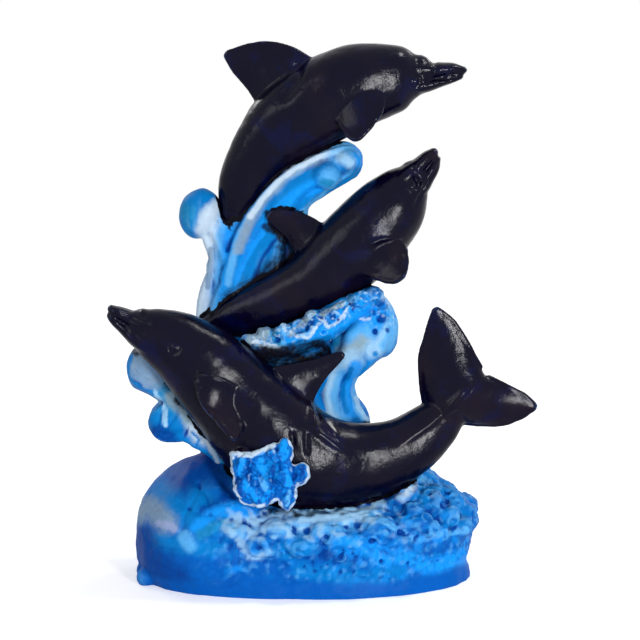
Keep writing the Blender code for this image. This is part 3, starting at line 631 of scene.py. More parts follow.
def foam(clay, cover, size, depth, seed=0):
    """Press a crust of small cups where cover is above 0; each fills the cell of a scattered point."""
    near = np.flatnonzero(cover > 0.02)
    spots = (clay.points[near] / (size * STEP) + seed * 3.7).tolist()
    distance = np.zeros(len(clay.points))
    for index, spot in zip(near, spots):
        (first, second, _, _), cells = noise.voronoi(spot)
        present = 0.5 + 0.5 * math.sin(cells[0][0] * 12.9 + cells[0][1] * 78.2 + cells[0][2] * 37.7)
        hollow = max(0.0, 1 - (first / (0.30 + 0.25 * present)) ** 2) if present > 0.35 else 0.0
        distance[index] = -depth * hollow + 0.35 * depth * min(1.0, (second - first) * 2.5) * first
    clay.push(distance * cover)


print("a cup's lip is", CUP_RIM, "of its radius wide")

# %% [markdown]
# ## The tall wave
# Behind the dolphins one wave stands up and forks. Each arm is a fluted loft that starts at the same
# foot, and each ends in a rolled lump, like a fist. The flutes twist a little on their way up.

# %% Shape the tall wave
TALL_FOOT = at(-16, 9, 15)
TALL_FORK = at(-17.5, 10, 66)
foot = (TALL_FOOT - TALL_FORK) / GRID
LEFT_ARM = [(*foot, 14, 12), (*(foot * 0.45), 11.5, 11), (-3.2, 0, 5.0, 9.5, 9.5),
            (-4.8, 0, 20.0, 5.2, 7.0), (-8.0, 0, 31.0, 5.0, 6.0)]
RIGHT_ARM = [(*foot, 12, 11), (-3.0, 0, 0.0, 11.5, 10), (2.4, 0, 15.0, 15.0, 9.0),
             (6.6, 0, 30.0, 12.4, 8.0), (12.3, -1, 41.5, 7.9, 7.4), (21.0, -2, 47.6, 6.8, 6.8),
             (27.6, -2, 50.4, 6.0, 6.0)]
left_end = TALL_FORK + at(*LEFT_ARM[-1][:3])
right_end = TALL_FORK + at(*RIGHT_ARM[-1][:3])
tall = Clay(fuse("tall_wave", [
    loft(rows_at(TALL_FORK, LEFT_ARM, STEP), flutes=7, flute_depth=0.20, twist=0.5),
    loft(rows_at(TALL_FORK, RIGHT_ARM, STEP), squareness=3.0, flutes=9, flute_depth=0.20, twist=0.35),
    lump(left_end + at(-4.4, -1.0, 4.6), at(5.9, 6.4, 7.2), (0, 15, 0)),
    lump(right_end + at(-4.4, -5.0, -3.4), at(4.2, 4.0, 4.0)),
    lump(right_end + at(1.6, -4.0, 0.4), at(3.6, 3.6, 3.4))], 0.48, 3))
tall.push(0.25 * clouds(tall.points, (3.5, 3.5, 9), seed=4) + 0.10 * clouds(tall.points, 2.2, seed=5))
report(tall)

# %% [markdown]
# ## The water in the middle
# A broad fluted column fills the space behind the front dolphin, and two tongues of water lick out of
# it at the left. They are lofts again, squarer than an oval, so they read as flat licks of water.

# %% Shape the water in the middle and the two tongues at the left
MIDDLE_WATER = [(-5, 5, 9.0, 31, 20), (-6, 6, 28.5, 26, 17), (-7, 7, 46.5, 21, 14),
                (-11.5, 8, 60, 16, 12)]
UPPER_TONGUE = [(-14, -2, 47.0, 12, 10), (-25.3, -3, 53.0, 11, 9), (-36.5, -4, 57.8, 9.4, 7.5),
                (-44.0, -5, 60.2, 7.6, 6)]
LOWER_TONGUE = [(-10, -3, 34.0, 13, 11), (-21.0, -4, 43.0, 11, 9), (-31.5, -5, 46.0, 8.6, 7),
                (-38.6, -6, 44.8, 6.0, 5.5)]
swell = Clay(fuse("swelling_water", [
    loft(rows_at((0, 0, 0), MIDDLE_WATER, STEP), around=120, flutes=13, flute_depth=0.12, twist=0.3),
    loft(rows_at((0, 0, 0), UPPER_TONGUE, STEP), squareness=2.8, flutes=5, flute_depth=0.12),
    loft(rows_at((0, 0, 0), LOWER_TONGUE, STEP), squareness=2.8, flutes=6, flute_depth=0.16)], 0.54, 3))
swell.push(0.35 * clouds(swell.points, 5, seed=6) + 0.12 * clouds(swell.points, 2.2, seed=7))
report(swell)

# %% [markdown]
# ## The wave at the right
# This one is a thin column that opens like a funnel under its rolled crest. The crest is one lump with
# a large cup in its front and smaller ones along its right edge, pressed with the foam tool.

# %% Shape the wave at the right
CREST = at(19.4, 1, 71.2)
RIGHT_COLUMN = [(-12.4, 2, -56.2, 12, 11), (-11.9, 2, -37.2, 11.5, 10), (-10.9, 2, -28.2, 10.3, 9),
                (-11.8, 2, -22.2, 7.4, 8), (-12.0, 1.5, -17.2, 6.6, 7.5), (-9.6, 1, -12.2, 6.2, 7.5),
                (-6.0, -1, -7.4, 7.4, 8.5), (-3.6, -1.5, -2.7, 9.6, 8.8), (-3.0, -1, 1.8, 8.4, 7.4)]
right = Clay(fuse("right_wave", [
    loft(rows_at(CREST, RIGHT_COLUMN, STEP), flutes=6, flute_depth=0.18, twist=0.4),
    lump(CREST, at(6.4, 8.4, 9.8), (0, -12, 0))], 0.42, 3))
cup(right, on_clay(right, (6.4, 0.6)), 5.6, 1.5, lip=0.3, oval=(1.1, 1.0, 0.9))
for across, up, radius in ((13.2, 9.2, 1.5), (15.4, 7.6, 2.2), (17.4, 4.4, 1.9), (11.8, 7.0, 1.3),
                           (16.8, 0.2, 1.4), (15.2, -3.2, 1.2), (14.4, 10.6, 1.0)):
    cup(right, on_clay(right, (across, up)), radius, 1.1)
right.push(0.22 * clouds(right.points, 4, seed=8) + 0.08 * clouds(right.points, 1.8, seed=9))
report(right)

# %% [markdown]
# ## The ridge of foam
# Between the dolphins runs a crooked ridge of foam. It is a loft under a row of egg-shaped curls, each
# turned a little differently, with cups pressed in the larger curls and a crust of tiny ones on top.

# %% Shape the ridge of foam between the dolphins
FOAM_RIDGE = [(-18, -4, 64, 4, 6), (-6, -5, 67, 4.6, 7), (4, -5, 71.4, 4.6, 7),
              (12, -3.4, 76.6, 4.2, 6.5), (18, -1, 79.2, 3.4, 5)]
RIDGE_DEPTH = -8.6
forms = [loft(rows_at((0, 0, 0), FOAM_RIDGE, STEP)), lump(at(-4, 1, 60), at(13, 10, 12))]
CURLS = [(-19.0, -5.6, 3.2, 1.6), (-15.0, -4.2, 3.0, 2.0), (-10.4, -3.6, 2.6, 2.4), (-5.2, -2.6, 3.4, 3.0),
         (-1.8, 0.6, 2.6, 2.2), (3.4, 0.6, 3.2, 2.9), (7.6, 3.6, 2.4, 2.2), (11.4, 5.8, 3.0, 2.2),
         (15.4, 7.4, 2.4, 2.0), (-13.0, -6.8, 3.0, 1.4), (-0.6, -4.0, 2.6, 1.8)]
for index, (across, up, width, height) in enumerate(CURLS):
    forms.append(lump(from_view(across, up, RIDGE_DEPTH + 1.2 * math.sin(index * 2.4)),
                      at(width, 2.8, height), (0, 25 * math.sin(index * 1.7), 0), (36, 24)))
ridge = Clay(fuse("foam_ridge", forms, 0.36, 2))
CUPS = [(-5.3, -2.2, 2.3), (3.6, 0.6, 1.9), (-1.8, 1.0, 0.9), (8.1, 4.6, 0.9), (-12.0, -5.4, 1.3),
        (-9.6, -1.6, 0.8), (13.0, 6.4, 1.2), (1.0, -3.4, 0.8)]
for across, up, radius in CUPS:
    cup(ridge, on_clay(ridge, (across, up)), radius, 0.65 * radius, lip=0.3, oval=(1.15, 1.0, 0.85))
ridge.crest = smooth((3.4 - reach_of(ridge.seen, [(spot[0], spot[1]) for spot in CURLS[:9]])[0]) / 1.5)
foam(ridge, ridge.crest, 2.3, 0.65, seed=8)
ridge.push(0.35 * clouds(ridge.points, 2.6, seed=10) + 0.16 * clouds(ridge.points, 1.2, seed=11))
report(ridge)

# %% [markdown]
# ## The knot of drops
# In front of the belly hangs a flat knot of drops. Its outline is drawn on the front view and stacked
# in layers that shrink towards the viewer, which gives a rounded edge. Short fat lofts on its face
# make the single drops, and grooves part them.

# %% Shape the splash in front of the belly
SPLASH_DEPTH = -26.0
SPLASH_MIDDLE = np.array((-14.6, -44.2))
SPLASH_EDGE = [
    (-25.5, -37.5), (-24.4, -36.7), (-19.6, -37.0), (-17.4, -36.4), (-13.2, -34.4), (-11.8, -34.4),
    (-10.9, -33.3), (-9.5, -33.0), (-8.1, -34.2), (-7.6, -36.7), (-7.6, -39.2), (-6.7, -40.3),
    (-4.8, -39.8), (-3.4, -40.9), (-2.8, -43.1), (-3.6, -45.4), (-5.3, -46.2), (-6.2, -46.5),
    (-6.7, -48.7), (-6.7, -50.7), (-8.1, -53.2), (-9.5, -53.5), (-10.9, -52.1), (-11.8, -50.4),
    (-13.4, -51.5), (-16.0, -52.4), (-19.0, -52.1), (-21.6, -51.2), (-23.0, -49.3), (-23.8, -47.0),
    (-24.6, -42.8), (-24.9, -40.3)]
SPLASH_LOOP = SPLASH_EDGE + SPLASH_EDGE[:1]
LAYERS = [(5.0, 0.70), (2.0, 0.96), (0.0, 1.0), (-1.2, 0.99), (-2.0, 0.92), (-2.5, 0.78), (-2.8, 0.5)]
edge = spline(SPLASH_LOOP, 4 * len(SPLASH_EDGE))[:-1]
rings = [np.array([from_view(*(SPLASH_MIDDLE + (spot - SPLASH_MIDDLE) * share), SPLASH_DEPTH + shift)
                   for spot in edge]) for shift, share in LAYERS]
forms = [skin(rings[::-1], [rings[-1].mean(axis=0), rings[0].mean(axis=0)])]
LOBES = [(-21.5, -40.5, 2.8), (-16.5, -40.2, 2.4), (-12.4, -38.0, 2.0), (-9.6, -37.0, 1.9),
         (-5.0, -43.0, 2.2), (-20.8, -46.0, 2.9), (-15.0, -45.2, 2.8), (-9.6, -44.4, 2.4),
         (-17.4, -49.4, 2.5), (-12.6, -48.8, 1.9), (-9.0, -50.0, 2.1)]
for index, (across, up, size) in enumerate(LOBES):
    path = [from_view(across + 0.5 * size * side * math.cos(index * 1.3), up + 0.5 * size * side,
                      SPLASH_DEPTH - 2.2 + 0.5 * math.sin(index * 2.2)) for side in (-1, 1)]
    forms.append(loft(np.column_stack([path, np.full((2, 2), 0.72 * size * STEP)]),
                      steps=16, around=36, squareness=3.4))
splash = Clay(fuse("splash", forms, 0.28, 2))
GAPS = [[(-12.3, -36.1), (-11.2, -41.4)], [(-20.4, -38.6), (-20.0, -41.6)],
        [(-19.0, -43.6), (-19.2, -46.6)], [(-14.0, -43.1), (-12.4, -46.0), (-12.0, -48.8)],
        [(-7.6, -40.0), (-7.2, -45.6)]]
for path in GAPS:
    groove(splash, path, 0.5, 0.9)
splash.push(0.45 * clouds(splash.points, 1.9, seed=12) + 0.16 * clouds(splash.points, 0.8, seed=15))
report(splash)

# %% [markdown]
# ## The base
# The base is a round block of the same sea: a smooth swell at the left, swept round by low swirls, and
# a heap of pitted foam at the right. The block is a loft that goes straight up; its collar is a ring of
# lumps whose height and size wander, and the heap is lumps laid in a spiral, as seeds in a flower.

# %% Shape the base
HALF_WIDTH, HALF_DEPTH = 47 * GRID[0], 30 * GRID[1]
WATERLINE, LEFT_SWELL, RIGHT_SWELL = 15 * STEP, 35.5 * STEP, 30 * STEP
PROFILE = [(-4 * STEP, 0.97), (1 * STEP, 0.985), (0.3 * WATERLINE, 0.965), (0.8 * WATERLINE, 1.0),
           (1.15 * WATERLINE, 0.96), (1.4 * WATERLINE, 0.84), (1.6 * WATERLINE, 0.62)]
left_middle = np.array((-0.50 * HALF_WIDTH, -0.06 * HALF_DEPTH, 0.32 * LEFT_SWELL))
forms = [
    loft([(0, 0, height, HALF_WIDTH * share, HALF_DEPTH * share) for height, share in PROFILE],
         steps=40, around=120, squareness=2.25),
    lump(left_middle, (0.53 * HALF_WIDTH, 0.90 * HALF_DEPTH, 0.67 * LEFT_SWELL), detail=(80, 50)),
    lump((0.58 * HALF_WIDTH, 0.06 * HALF_DEPTH, 0.42 * RIGHT_SWELL),
         (0.40 * HALF_WIDTH, 0.84 * HALF_DEPTH, 0.58 * RIGHT_SWELL), detail=(60, 40))]
COLLAR, COLLAR_START, COLLAR_TURN = 46, -122, 240
for index in range(COLLAR):
    turn = math.radians(COLLAR_START + COLLAR_TURN * index / (COLLAR - 1))
    wobble = 1.7 * math.sin(index * 1.9) + 1.0 * math.sin(index * 3.7)
    size = 2.5 * (1.15 + 0.35 * math.sin(index * 2.4)) * STEP
    place = (HALF_WIDTH * 0.93 * math.cos(turn), HALF_DEPTH * 0.93 * math.sin(turn),
             WATERLINE * 1.12 + wobble * STEP)
    forms.append(lump(place, (size * 1.5, size * 1.5, size), (0, 0, math.degrees(turn))))
HEAP = 24
GOLDEN_ANGLE = math.radians(137.5)           # the turn from seed to seed in a flower head
for index in range(HEAP):
    turn = index * GOLDEN_ANGLE
    share = math.sqrt((index + 0.5) / HEAP)
    size = 2.6 * (1.15 + 0.3 * math.sin(index * 2.1)) * STEP
    place = (HALF_WIDTH * (0.66 + 0.28 * share * math.cos(turn)),
             HALF_DEPTH * (-0.10 + 0.72 * share * math.sin(turn)), RIGHT_SWELL * (0.93 - 0.33 * share ** 2))
    forms.append(lump(place, (size * 1.1, size * 1.1, size)))
SWIRLS, SWIRL_START, SWIRL_STEP = 5, 200, 22
for index in range(SWIRLS):
    lift = (0.28 + 0.15 * index) * math.pi / 2
    turns = [math.radians(SWIRL_START + SWIRL_STEP * step + 4 * index) for step in range(6)]
    forms.append(loft([(left_middle[0] + 0.50 * HALF_WIDTH * math.cos(lift) * math.cos(turn),
                        left_middle[1] + 0.86 * HALF_DEPTH * math.cos(lift) * math.sin(turn),
                        left_middle[2] + 0.64 * LEFT_SWELL * math.sin(lift) - 1.3 * STEP * step,
                        1.3 * STEP, 1.5 * STEP) for step, turn in enumerate(turns)], (0, 0, 1), 50, 20))
for y, z, size in ((-8, 2.5, 3.0), (-3, 4.0, 2.4), (-13, 2.0, 2.7)):
    forms.append(lump((-0.95 * HALF_WIDTH, y * STEP, z * STEP), (size * STEP,) * 3))
base = Clay(fuse("sea_base", forms, 0.62, 2))
base.push(0.6 * clouds(base.points, 8, seed=13) + 0.22 * clouds(base.points, 3, seed=14))
report(base)

# %% [markdown]
# ## The foam of the base
# The foam runs round the base in a band that leaves the smooth swell free. The band is a mask that
# comes from height and direction, with a wandering edge. Under it the clay is roughened in several
# sizes, then pitted with small cups, and a few larger cups stand where the photograph shows them.

# %% Pit the base


def band_of(clay, lowest=11.5):
    """How much each point of the base belongs to the foam, from 0 to 1."""
    turn = np.degrees(np.arctan2(clay.points[:, 1] / HALF_DEPTH, clay.points[:, 0] / HALF_WIDTH))
    height = clay.points[:, 2] / STEP + 2.5 * clouds(clay.points, 9, 61)
    return smooth((height - lowest) / 4) * smooth((turn + 128) / 16) * smooth((150 - turn) / 16)


band = band_of(base)
low_band = band_of(base, 4.0) * smooth((base.points[:, 2] / STEP - 1.5) / 2)
base.push(band * 0.5 * clouds(base.points, 2.4, seed=16))
base.push(low_band * (0.8 * clouds(base.points, 4.2, seed=17) + 0.45 * clouds(base.points, 1.7, seed=18)))
foam(base, band * (0.25 + 0.75 * smooth((base.seen[:, 0] - 20) / 8)), 2.6, 0.75, seed=5)
foam(base, 0.7 * (low_band - band).clip(0, 1) * smooth((base.seen[:, 0] + 12) / 8), 1.9, 0.6, seed=6)
for across, up, radius in ((-17.4, -64.4, 2.5), (1.7, -60.8, 1.5), (14.8, -61.9, 1.7), (28.0, -45.4, 1.6),
                           (30.8, -48.2, 1.5), (35.8, -47.9, 1.4), (35.3, -51.0, 1.6), (28.0, -51.8, 1.4),
                           (30.2, -54.9, 1.5), (37.5, -56.3, 1.6), (17.6, -67.6, 1.3), (6.0, -66.0, 1.2)):
    cup(base, on_clay(base, (across, up)), radius * 0.9, 0.6 * radius, lip=0.45)
groove(base, [(-33.9, -45.4), (-34.7, -49.0), (-37.8, -54.3), (-38.4, -58.0), (-40.3, -60.2)], 0.5, 0.5)
print("share of the base that is foam:", round(float(band.mean()), 2))

# %% [markdown]
# ## A flat foot
# The figurine stands on a flat foot, so the base is cut level at the floor. The waves' own feet are cut
# a little above it, where they are hidden inside the base.

# %% Cut the foot flat
WATER_FOOT = 6


def cut_flat(clay, height):
    """Cut a piece off level, at a height in steps, and close the cut."""
    piece = clay.piece
    mesh = bmesh.new()
    mesh.from_mesh(piece.data)
    cut = bmesh.ops.bisect_plane(mesh, geom=mesh.verts[:] + mesh.edges[:] + mesh.faces[:],
                                 plane_co=(0, 0, height * STEP), plane_no=(0, 0, 1), clear_inner=True)
    rim = [item for item in cut["geom_cut"] if isinstance(item, bmesh.types.BMEdge)]
    bmesh.ops.holes_fill(mesh, edges=rim, sides=0)
    bmesh.ops.recalc_face_normals(mesh, faces=mesh.faces)
    mesh.to_mesh(piece.data)
    mesh.free()
    clay.read()


cut_flat(base, 0)
for clay in (swell, right, tall):
    cut_flat(clay, WATER_FOOT)
print("foot at", round(base.points[:, 2].min() * 1000, 3), "mm")

# %% [markdown]
# ## Lines of the flow
# Long shallow grooves, deepest in the middle and faint at their ends, show which way the water runs.
# They are pressed last, so that they cross the roughened skin as a tool's edge would.

# %% Press the lines of the flow
FLOW = [(swell, [(-52.9, -12.9), (-49.8, -15.7), (-45.4, -17.9)], 0.5, 0.5),
        (swell, [(-47.6, -9.0), (-45.4, -12.3), (-42.6, -16.2)], 0.6, 0.5),
        (swell, [(-43.1, -23.5), (-44.8, -26.9), (-46.2, -30.8)], 0.6, 0.7),
        (swell, [(-39.8, -25.2), (-41.4, -28.6), (-43.1, -33.0)], 0.6, 0.7),
        (swell, [(-36.4, -28.6), (-37.5, -31.9), (-38.6, -34.7)], 0.6, 0.6),
        (tall, [(-24.6, 5.6), (-21.6, 16.2), (-16.2, 26.3), (-7.8, 35.0)], 0.9, 0.35),
        (tall, [(-20.7, 6.7), (-17.9, 14.6), (-14.0, 21.3)], 0.6, 0.5),
        (tall, [(-27.4, 8.4), (-26.3, 17.4), (-24.1, 24.6)], 0.9, 0.3),
        (tall, [(-30.2, 6.7), (-29.7, 15.1), (-30.0, 21.3)], 0.6, 0.5),
        (right, [(9.0, -12.9), (6.2, -17.9), (5.6, -23.0), (6.7, -27.4)], 0.7, 0.6),
        (right, [(3.9, -16.8), (3.1, -21.8), (4.5, -26.9)], 0.6, 0.5),
        (base, [(-35.8, -44.2), (-31.9, -49.3), (-30.2, -56.0)], 0.9, 0.8),
        (base, [(-40.3, -50.4), (-34.7, -53.8), (-27.4, -54.9)], 0.9, 0.7),
        (base, [(-29.7, -43.1), (-24.6, -48.2), (-22.4, -53.8)], 0.9, 0.7),
        (base, [(-49.8, -61.6), (-43.7, -63.8), (-34.7, -65.0)], 1.1, 0.6)]
for clay, path, width, depth in FLOW:
    groove(clay, path, width, depth, taper=0.9)
WATER = {"tall": tall, "swell": swell, "right": right, "ridge": ridge, "splash": splash, "base": base}
DOLPHINS = {"front": front, "middle": middle, "top": top}
PIECES = (*WATER.values(), *DOLPHINS.values())
print("lines of the flow:", len(FLOW))

# %% [markdown]
# ## Measuring the skin for the painter
# Edges get lighter paint and hollows darker paint, partly as paint worn off edges and gathered in
# hollows, partly as painted highlight on the edges and painted shade in the hollows. Each point of the
# skin is compared with the average of its neighbours, ten rings out: standing proud makes it an edge,
# lying deep makes it a hollow. The black of the dolphins has also run over on to the water, which a
# distance to the nearest dolphin gives. Both are kept on the mesh as attributes, which the materials read.

# %% Find edges, hollows and spilt black
PROUD_ROUNDS, PROUD_SCALE = 10, 0.35         # rings of neighbours, and the scale in steps
SPILL_LIMIT = 6                              # beyond this many steps the black plays no part


def proudness(clay):
    """How far each point stands proud of its neighbourhood, measured in proud scales."""
    mesh = clay.piece.data
    edges = np.zeros(len(mesh.edges) * 2, dtype=int)
    mesh.edges.foreach_get("vertices", edges)
    first, second = edges.reshape(-1, 2).T
    count = len(clay.points)
    links = np.maximum(np.bincount(first, minlength=count) + np.bincount(second, minlength=count), 1)
    soft = clay.points.copy()
    for _ in range(PROUD_ROUNDS):
        soft = np.column_stack([
            (np.bincount(first, soft[second, axis], count)
             + np.bincount(second, soft[first, axis], count)) / links for axis in range(3)])
    return ((clay.points - soft) * clay.normals).sum(axis=1) / (PROUD_SCALE * STEP)


def keep(clay, name, values):
    """Keep a value for each point on the mesh, under a name that a material can read."""
    attribute = clay.piece.data.attributes.new(name, "FLOAT", "POINT")
    attribute.data.foreach_set("value", np.asarray(values, dtype=np.float32))


def distance_to(clays, points):
    """Distance in steps from each point to the nearest of some pieces, at most the spill's limit."""
    others = np.vstack([clay.points[::3] for clay in clays])
    tree = KDTree(len(others))
    for index, place in enumerate(others.tolist()):
        tree.insert(place, index)
    tree.balance()
    lowest, highest = others.min(axis=0) - SPILL_LIMIT * STEP, others.max(axis=0) + SPILL_LIMIT * STEP
    away = np.full(len(points), float(SPILL_LIMIT))
    for index in np.flatnonzero(((points > lowest) & (points < highest)).all(axis=1)):
        away[index] = min(SPILL_LIMIT, tree.find(points[index])[2] / STEP)
    return away


for clay in PIECES:
    clay.proud = proudness(clay)
    keep(clay, "proud", clay.proud)
for clay in WATER.values():
    keep(clay, "near_dolphin", distance_to(DOLPHINS.values(), clay.points))
print("proudness of the foam ridge:", np.round(np.percentile(ridge.proud, (5, 50, 95)), 2))

# %% [markdown]
# ## Painting the water
# The painter laid a bright azure everywhere, then long strokes of deep blue, pale sky and off-white
# along the flow. The same is done here. First comes the base coat: azure with streaks that follow the
# flow on every side, also where the photograph shows nothing. Paint is a colour for each point of the
# skin, mixed with numpy, so a stroke can blend into what is already there.

# %% Mix the pigments and lay the base coat


def pigment(red, green, blue):
    """A colour as a screen shows it, 0 to 255, as the linear value that the shader wants."""
    return np.array([channel / 12.92 if channel <= 0.04045 else ((channel + 0.055) / 1.055) ** 2.4
                     for channel in (red / 255, green / 255, blue / 255)])


PIGMENTS = {
    "azure": pigment(4, 116, 190), "ocean": pigment(3, 86, 172), "bright": pigment(18, 142, 232),
    "deep": pigment(2, 62, 142), "sky": pigment(84, 164, 224), "pale": pigment(146, 190, 224),
    "white": pigment(184, 204, 222), "lilac": pigment(140, 156, 196), "teal": pigment(24, 124, 176),
    "grey": pigment(120, 146, 172), "sand": pigment(128, 152, 164), "black": pigment(12, 11, 20)}


def lay(clay, name, cover):
    """Lay a pigment over what is there; cover runs from 0 to 1."""
    clay.colour += (PIGMENTS[name] - clay.colour) * np.clip(cover, 0, 1)[:, None]


def base_coat(clay, flow, seed):
    """Azure with streaks of deep blue and sky that follow the flow, on every side."""
    flow = np.array(flow)
    clay.colour = np.tile(PIGMENTS["azure"], (len(clay.points), 1))
    broad = clouds(clay.points, flow * 2.2, seed)
    streak = clouds(clay.points, flow, seed + 1)
    fine = clouds(clay.points, flow * 0.4, seed + 2)
    upright = clouds(clay.points, flow * (0.7, 0.7, 2.0), seed + 3)
    lay(clay, "deep", 0.60 * smooth(0.35 + 1.6 * broad))
    lay(clay, "bright", 0.55 * smooth(0.1 + 1.8 * streak))
    lay(clay, "sky", 0.60 * smooth(-0.45 + 2.0 * streak + 0.8 * fine))
    lay(clay, "pale", 0.4 * smooth(-0.5 + 2.2 * upright))


base_coat(tall, (3, 3, 16), 41)
base_coat(swell, (5, 5, 9), 44)
base_coat(right, (3, 3, 14), 47)
base_coat(ridge, (3, 3, 3), 50)
base_coat(splash, (1.2, 1.2, 1.6), 53)
base_coat(base, (9, 9, 4), 56)
lay(base, "ocean", 0.7 + 0.3 * clouds(base.points, 12, 59))
print("base coats laid")

# %% [markdown]
# ## The brush
# A stroke is drawn on the front view with a pigment, a width and a few points, and lands on whatever
# of the sculpture stands there. Its edge wanders and breaks into bristle marks, because a wet brush
# does that, and a softer stroke blends further into the coat under it.

# %% A stroke of the brush
BRISTLE_LENGTH, BRISTLE_WIDTH = 5, 0.45


def brush(clay, name, path, width, soft):
    """One stroke of a pigment along a path on the front view; a soft one is blended at its edges."""
    near = np.flatnonzero(in_reach(clay, path, 1.6 * width, -0.1))
    if len(near) == 0:
        return
    shift = np.column_stack([clouds(clay.points[near], 2.6, 31), clouds(clay.points[near], 2.6, 32)])
    fine = clouds(clay.points[near], 0.9, 33)
    away, share = reach_of(clay.seen[near] + shift * 0.8 / soft, path)
    length = np.linalg.norm(np.diff(path, axis=0), axis=1).sum() if len(path) > 1 else 0.0
    bristles = [noise.noise((along * length / BRISTLE_LENGTH, out / BRISTLE_WIDTH, width))
                for along, out in zip(share, away)]
    softness = min(0.35 + 0.14 * width, 1.0) * width * soft
    ragged = (0.25 * fine + 0.3 * np.array(bristles)) / soft
    full = np.zeros(len(clay.points))
    full[near] = smooth((width * (1 + ragged) - away) / softness + 0.5) * np.clip(0.92 + ragged, 0, 1)
    lay(clay, name, full)


print("a bristle's mark is about", BRISTLE_LENGTH, "steps long and", BRISTLE_WIDTH, "wide")

# %% [markdown]
# ## The strokes of the tall wave
# The left arm is pale with blue at its rolled end, the right one azure with a grey and white
# back, and the dolphins' black has run along the foot where they touch it.

# %% The strokes of the tall wave
STROKES = {}
STROKES["tall"] = [
    ("sky", 3.4, [(-27.7, 29.4), (-28.3, 22.4), (-28.8, 12.6), (-30.0, 2.8)]),
    ("white", 2.4, [(-30.8, 29.1), (-31.6, 22.4), (-32.5, 12.6), (-33.6, 2.2)]),
    ("teal", 3.4, [(-37.5, 31.9), (-39.2, 27.4)]),
    ("azure", 2.6, [(-35.8, 34.7), (-31.9, 34.7)]),
    ("azure", 1.2, [(-40.3, 28.6), (-38.6, 25.2)]),
    ("white", 1.9, [(-33.0, 25.2), (-31.4, 29.1), (-29.1, 31.9)]),
    ("bright", 1.5, [(-25.2, 24.6), (-25.8, 16.8), (-26.9, 5.6)]),
    ("grey", 0.8, [(-30.5, 19.6), (-30.8, 14.6), (-31.4, 9.2)]),
    ("azure", 5.8, [(-23.0, 4.2), (-20.7, 14.0), (-15.7, 24.6), (-9.0, 33.6), (-1.1, 38.6)]),
    ("bright", 1.8, [(-23.5, 5.6), (-20.7, 16.2), (-14.6, 26.6), (-6.2, 35.3), (0.6, 38.1)]),
    ("sky", 1.0, [(-25.8, 10.1), (-23.5, 20.7), (-19.0, 29.7), (-12.3, 37.5), (-5.0, 42.6), (1.7, 46.5)]),
    ("grey", 1.4, [(-23.0, 19.6), (-19.0, 28.8), (-13.4, 36.4), (-6.7, 42.0), (0.6, 45.4), (7.3, 47.6)]),
    ("white", 0.9, [(-19.6, 29.1), (-14.0, 36.4), (-7.3, 42.3), (0.0, 45.9), (6.7, 48.2)]),
    ("azure", 0.9, [(-23.0, 5.6), (-19.6, 16.2), (-14.0, 24.4)]),
    ("deep", 0.5, [(-19.0, 10.1), (-15.7, 17.9), (-12.3, 22.4)]),
    ("sky", 3.2, [(5.6, 47.0), (9.0, 48.7)]),
    ("bright", 1.4, [(10.6, 48.2), (11.5, 43.7)]),
    ("pale", 1.6, [(5.6, 45.9), (8.4, 44.0)]),
    ("sky", 2.6, [(2.8, 39.8)]),
    ("teal", 1.0, [(1.1, 38.6), (3.4, 38.1)]),
    ("sky", 1.0, [(9.0, 40.9), (5.6, 38.1), (1.7, 35.3), (-2.2, 32.2), (-5.6, 29.1)]),
    ("azure", 1.2, [(10.6, 41.4), (7.3, 38.6), (2.8, 35.3)]),
    ("black", 3.4, [(-8.4, 20.2), (-10.1, 15.7), (-14.0, 11.8), (-19.0, 7.8), (-24.1, 4.8)]),
    ("black", 1.0, [(-15.1, 26.3), (-12.3, 24.6), (-9.5, 21.8)]),
    ("black", 1.0, [(-14.6, 29.7), (-10.1, 30.8), (-5.6, 29.1)])]
print("strokes:", len(STROKES["tall"]))

# %% [markdown]
# ## The strokes of the middle water and its tongues
# The tongues are grey and teal with white licks, each edged with a little black.

# %% The strokes of the middle water and its tongues
STROKES["swell"] = [
    ("grey", 3.9, [(-51.5, -9.0), (-50.1, -14.0), (-45.4, -17.9)]),
    ("deep", 0.9, [(-53.2, -17.0), (-49.6, -19.8)]),
    ("azure", 1.0, [(-53.5, -8.4), (-54.0, -16.5), (-49.0, -20.2), (-44.8, -21.3)]),
    ("teal", 3.4, [(-42.6, -21.3), (-44.2, -26.6)]),
    ("azure", 3.6, [(-45.9, -29.1), (-41.4, -30.8), (-37.0, -34.2)]),
    ("deep", 2.2, [(-45.4, -31.4), (-42.0, -33.2)]),
    ("pale", 0.6, [(-46.2, -20.2), (-43.7, -24.4), (-43.4, -29.4)]),
    ("sand", 2.0, [(-41.6, -22.0), (-38.1, -25.2), (-36.1, -28.3)]),
    ("white", 2.0, [(-35.6, -30.8), (-33.3, -33.6)]),
    ("azure", 0.4, [(-35.8, -31.4), (-33.9, -33.6), (-34.4, -35.3)]),
    ("azure", 1.4, [(-34.2, -35.8), (-29.7, -40.3)]),
    ("white", 0.7, [(-32.2, -33.0), (-30.2, -36.4), (-28.6, -39.8)]),
    ("teal", 2.0, [(-27.4, -35.8), (-25.2, -42.0)]),
    ("black", 0.9, [(-52.4, -8.4), (-51.2, -9.5)]), ("black", 0.7, [(-43.1, -17.9), (-42.0, -18.8)]),
    ("black", 1.0, [(-39.8, -22.4), (-37.5, -24.4)]), ("black", 0.8, [(-35.3, -27.2), (-33.9, -29.1)]),
    ("black", 1.4, [(-16.2, -9.5), (-9.8, -10.6), (-2.2, -10.6), (3.9, -10.1)])]
print("strokes:", len(STROKES["swell"]))

# %% [markdown]
# ## The strokes of the right wave
# Blue inside the cup of the crest, pale outside, and long pale streaks down the column.

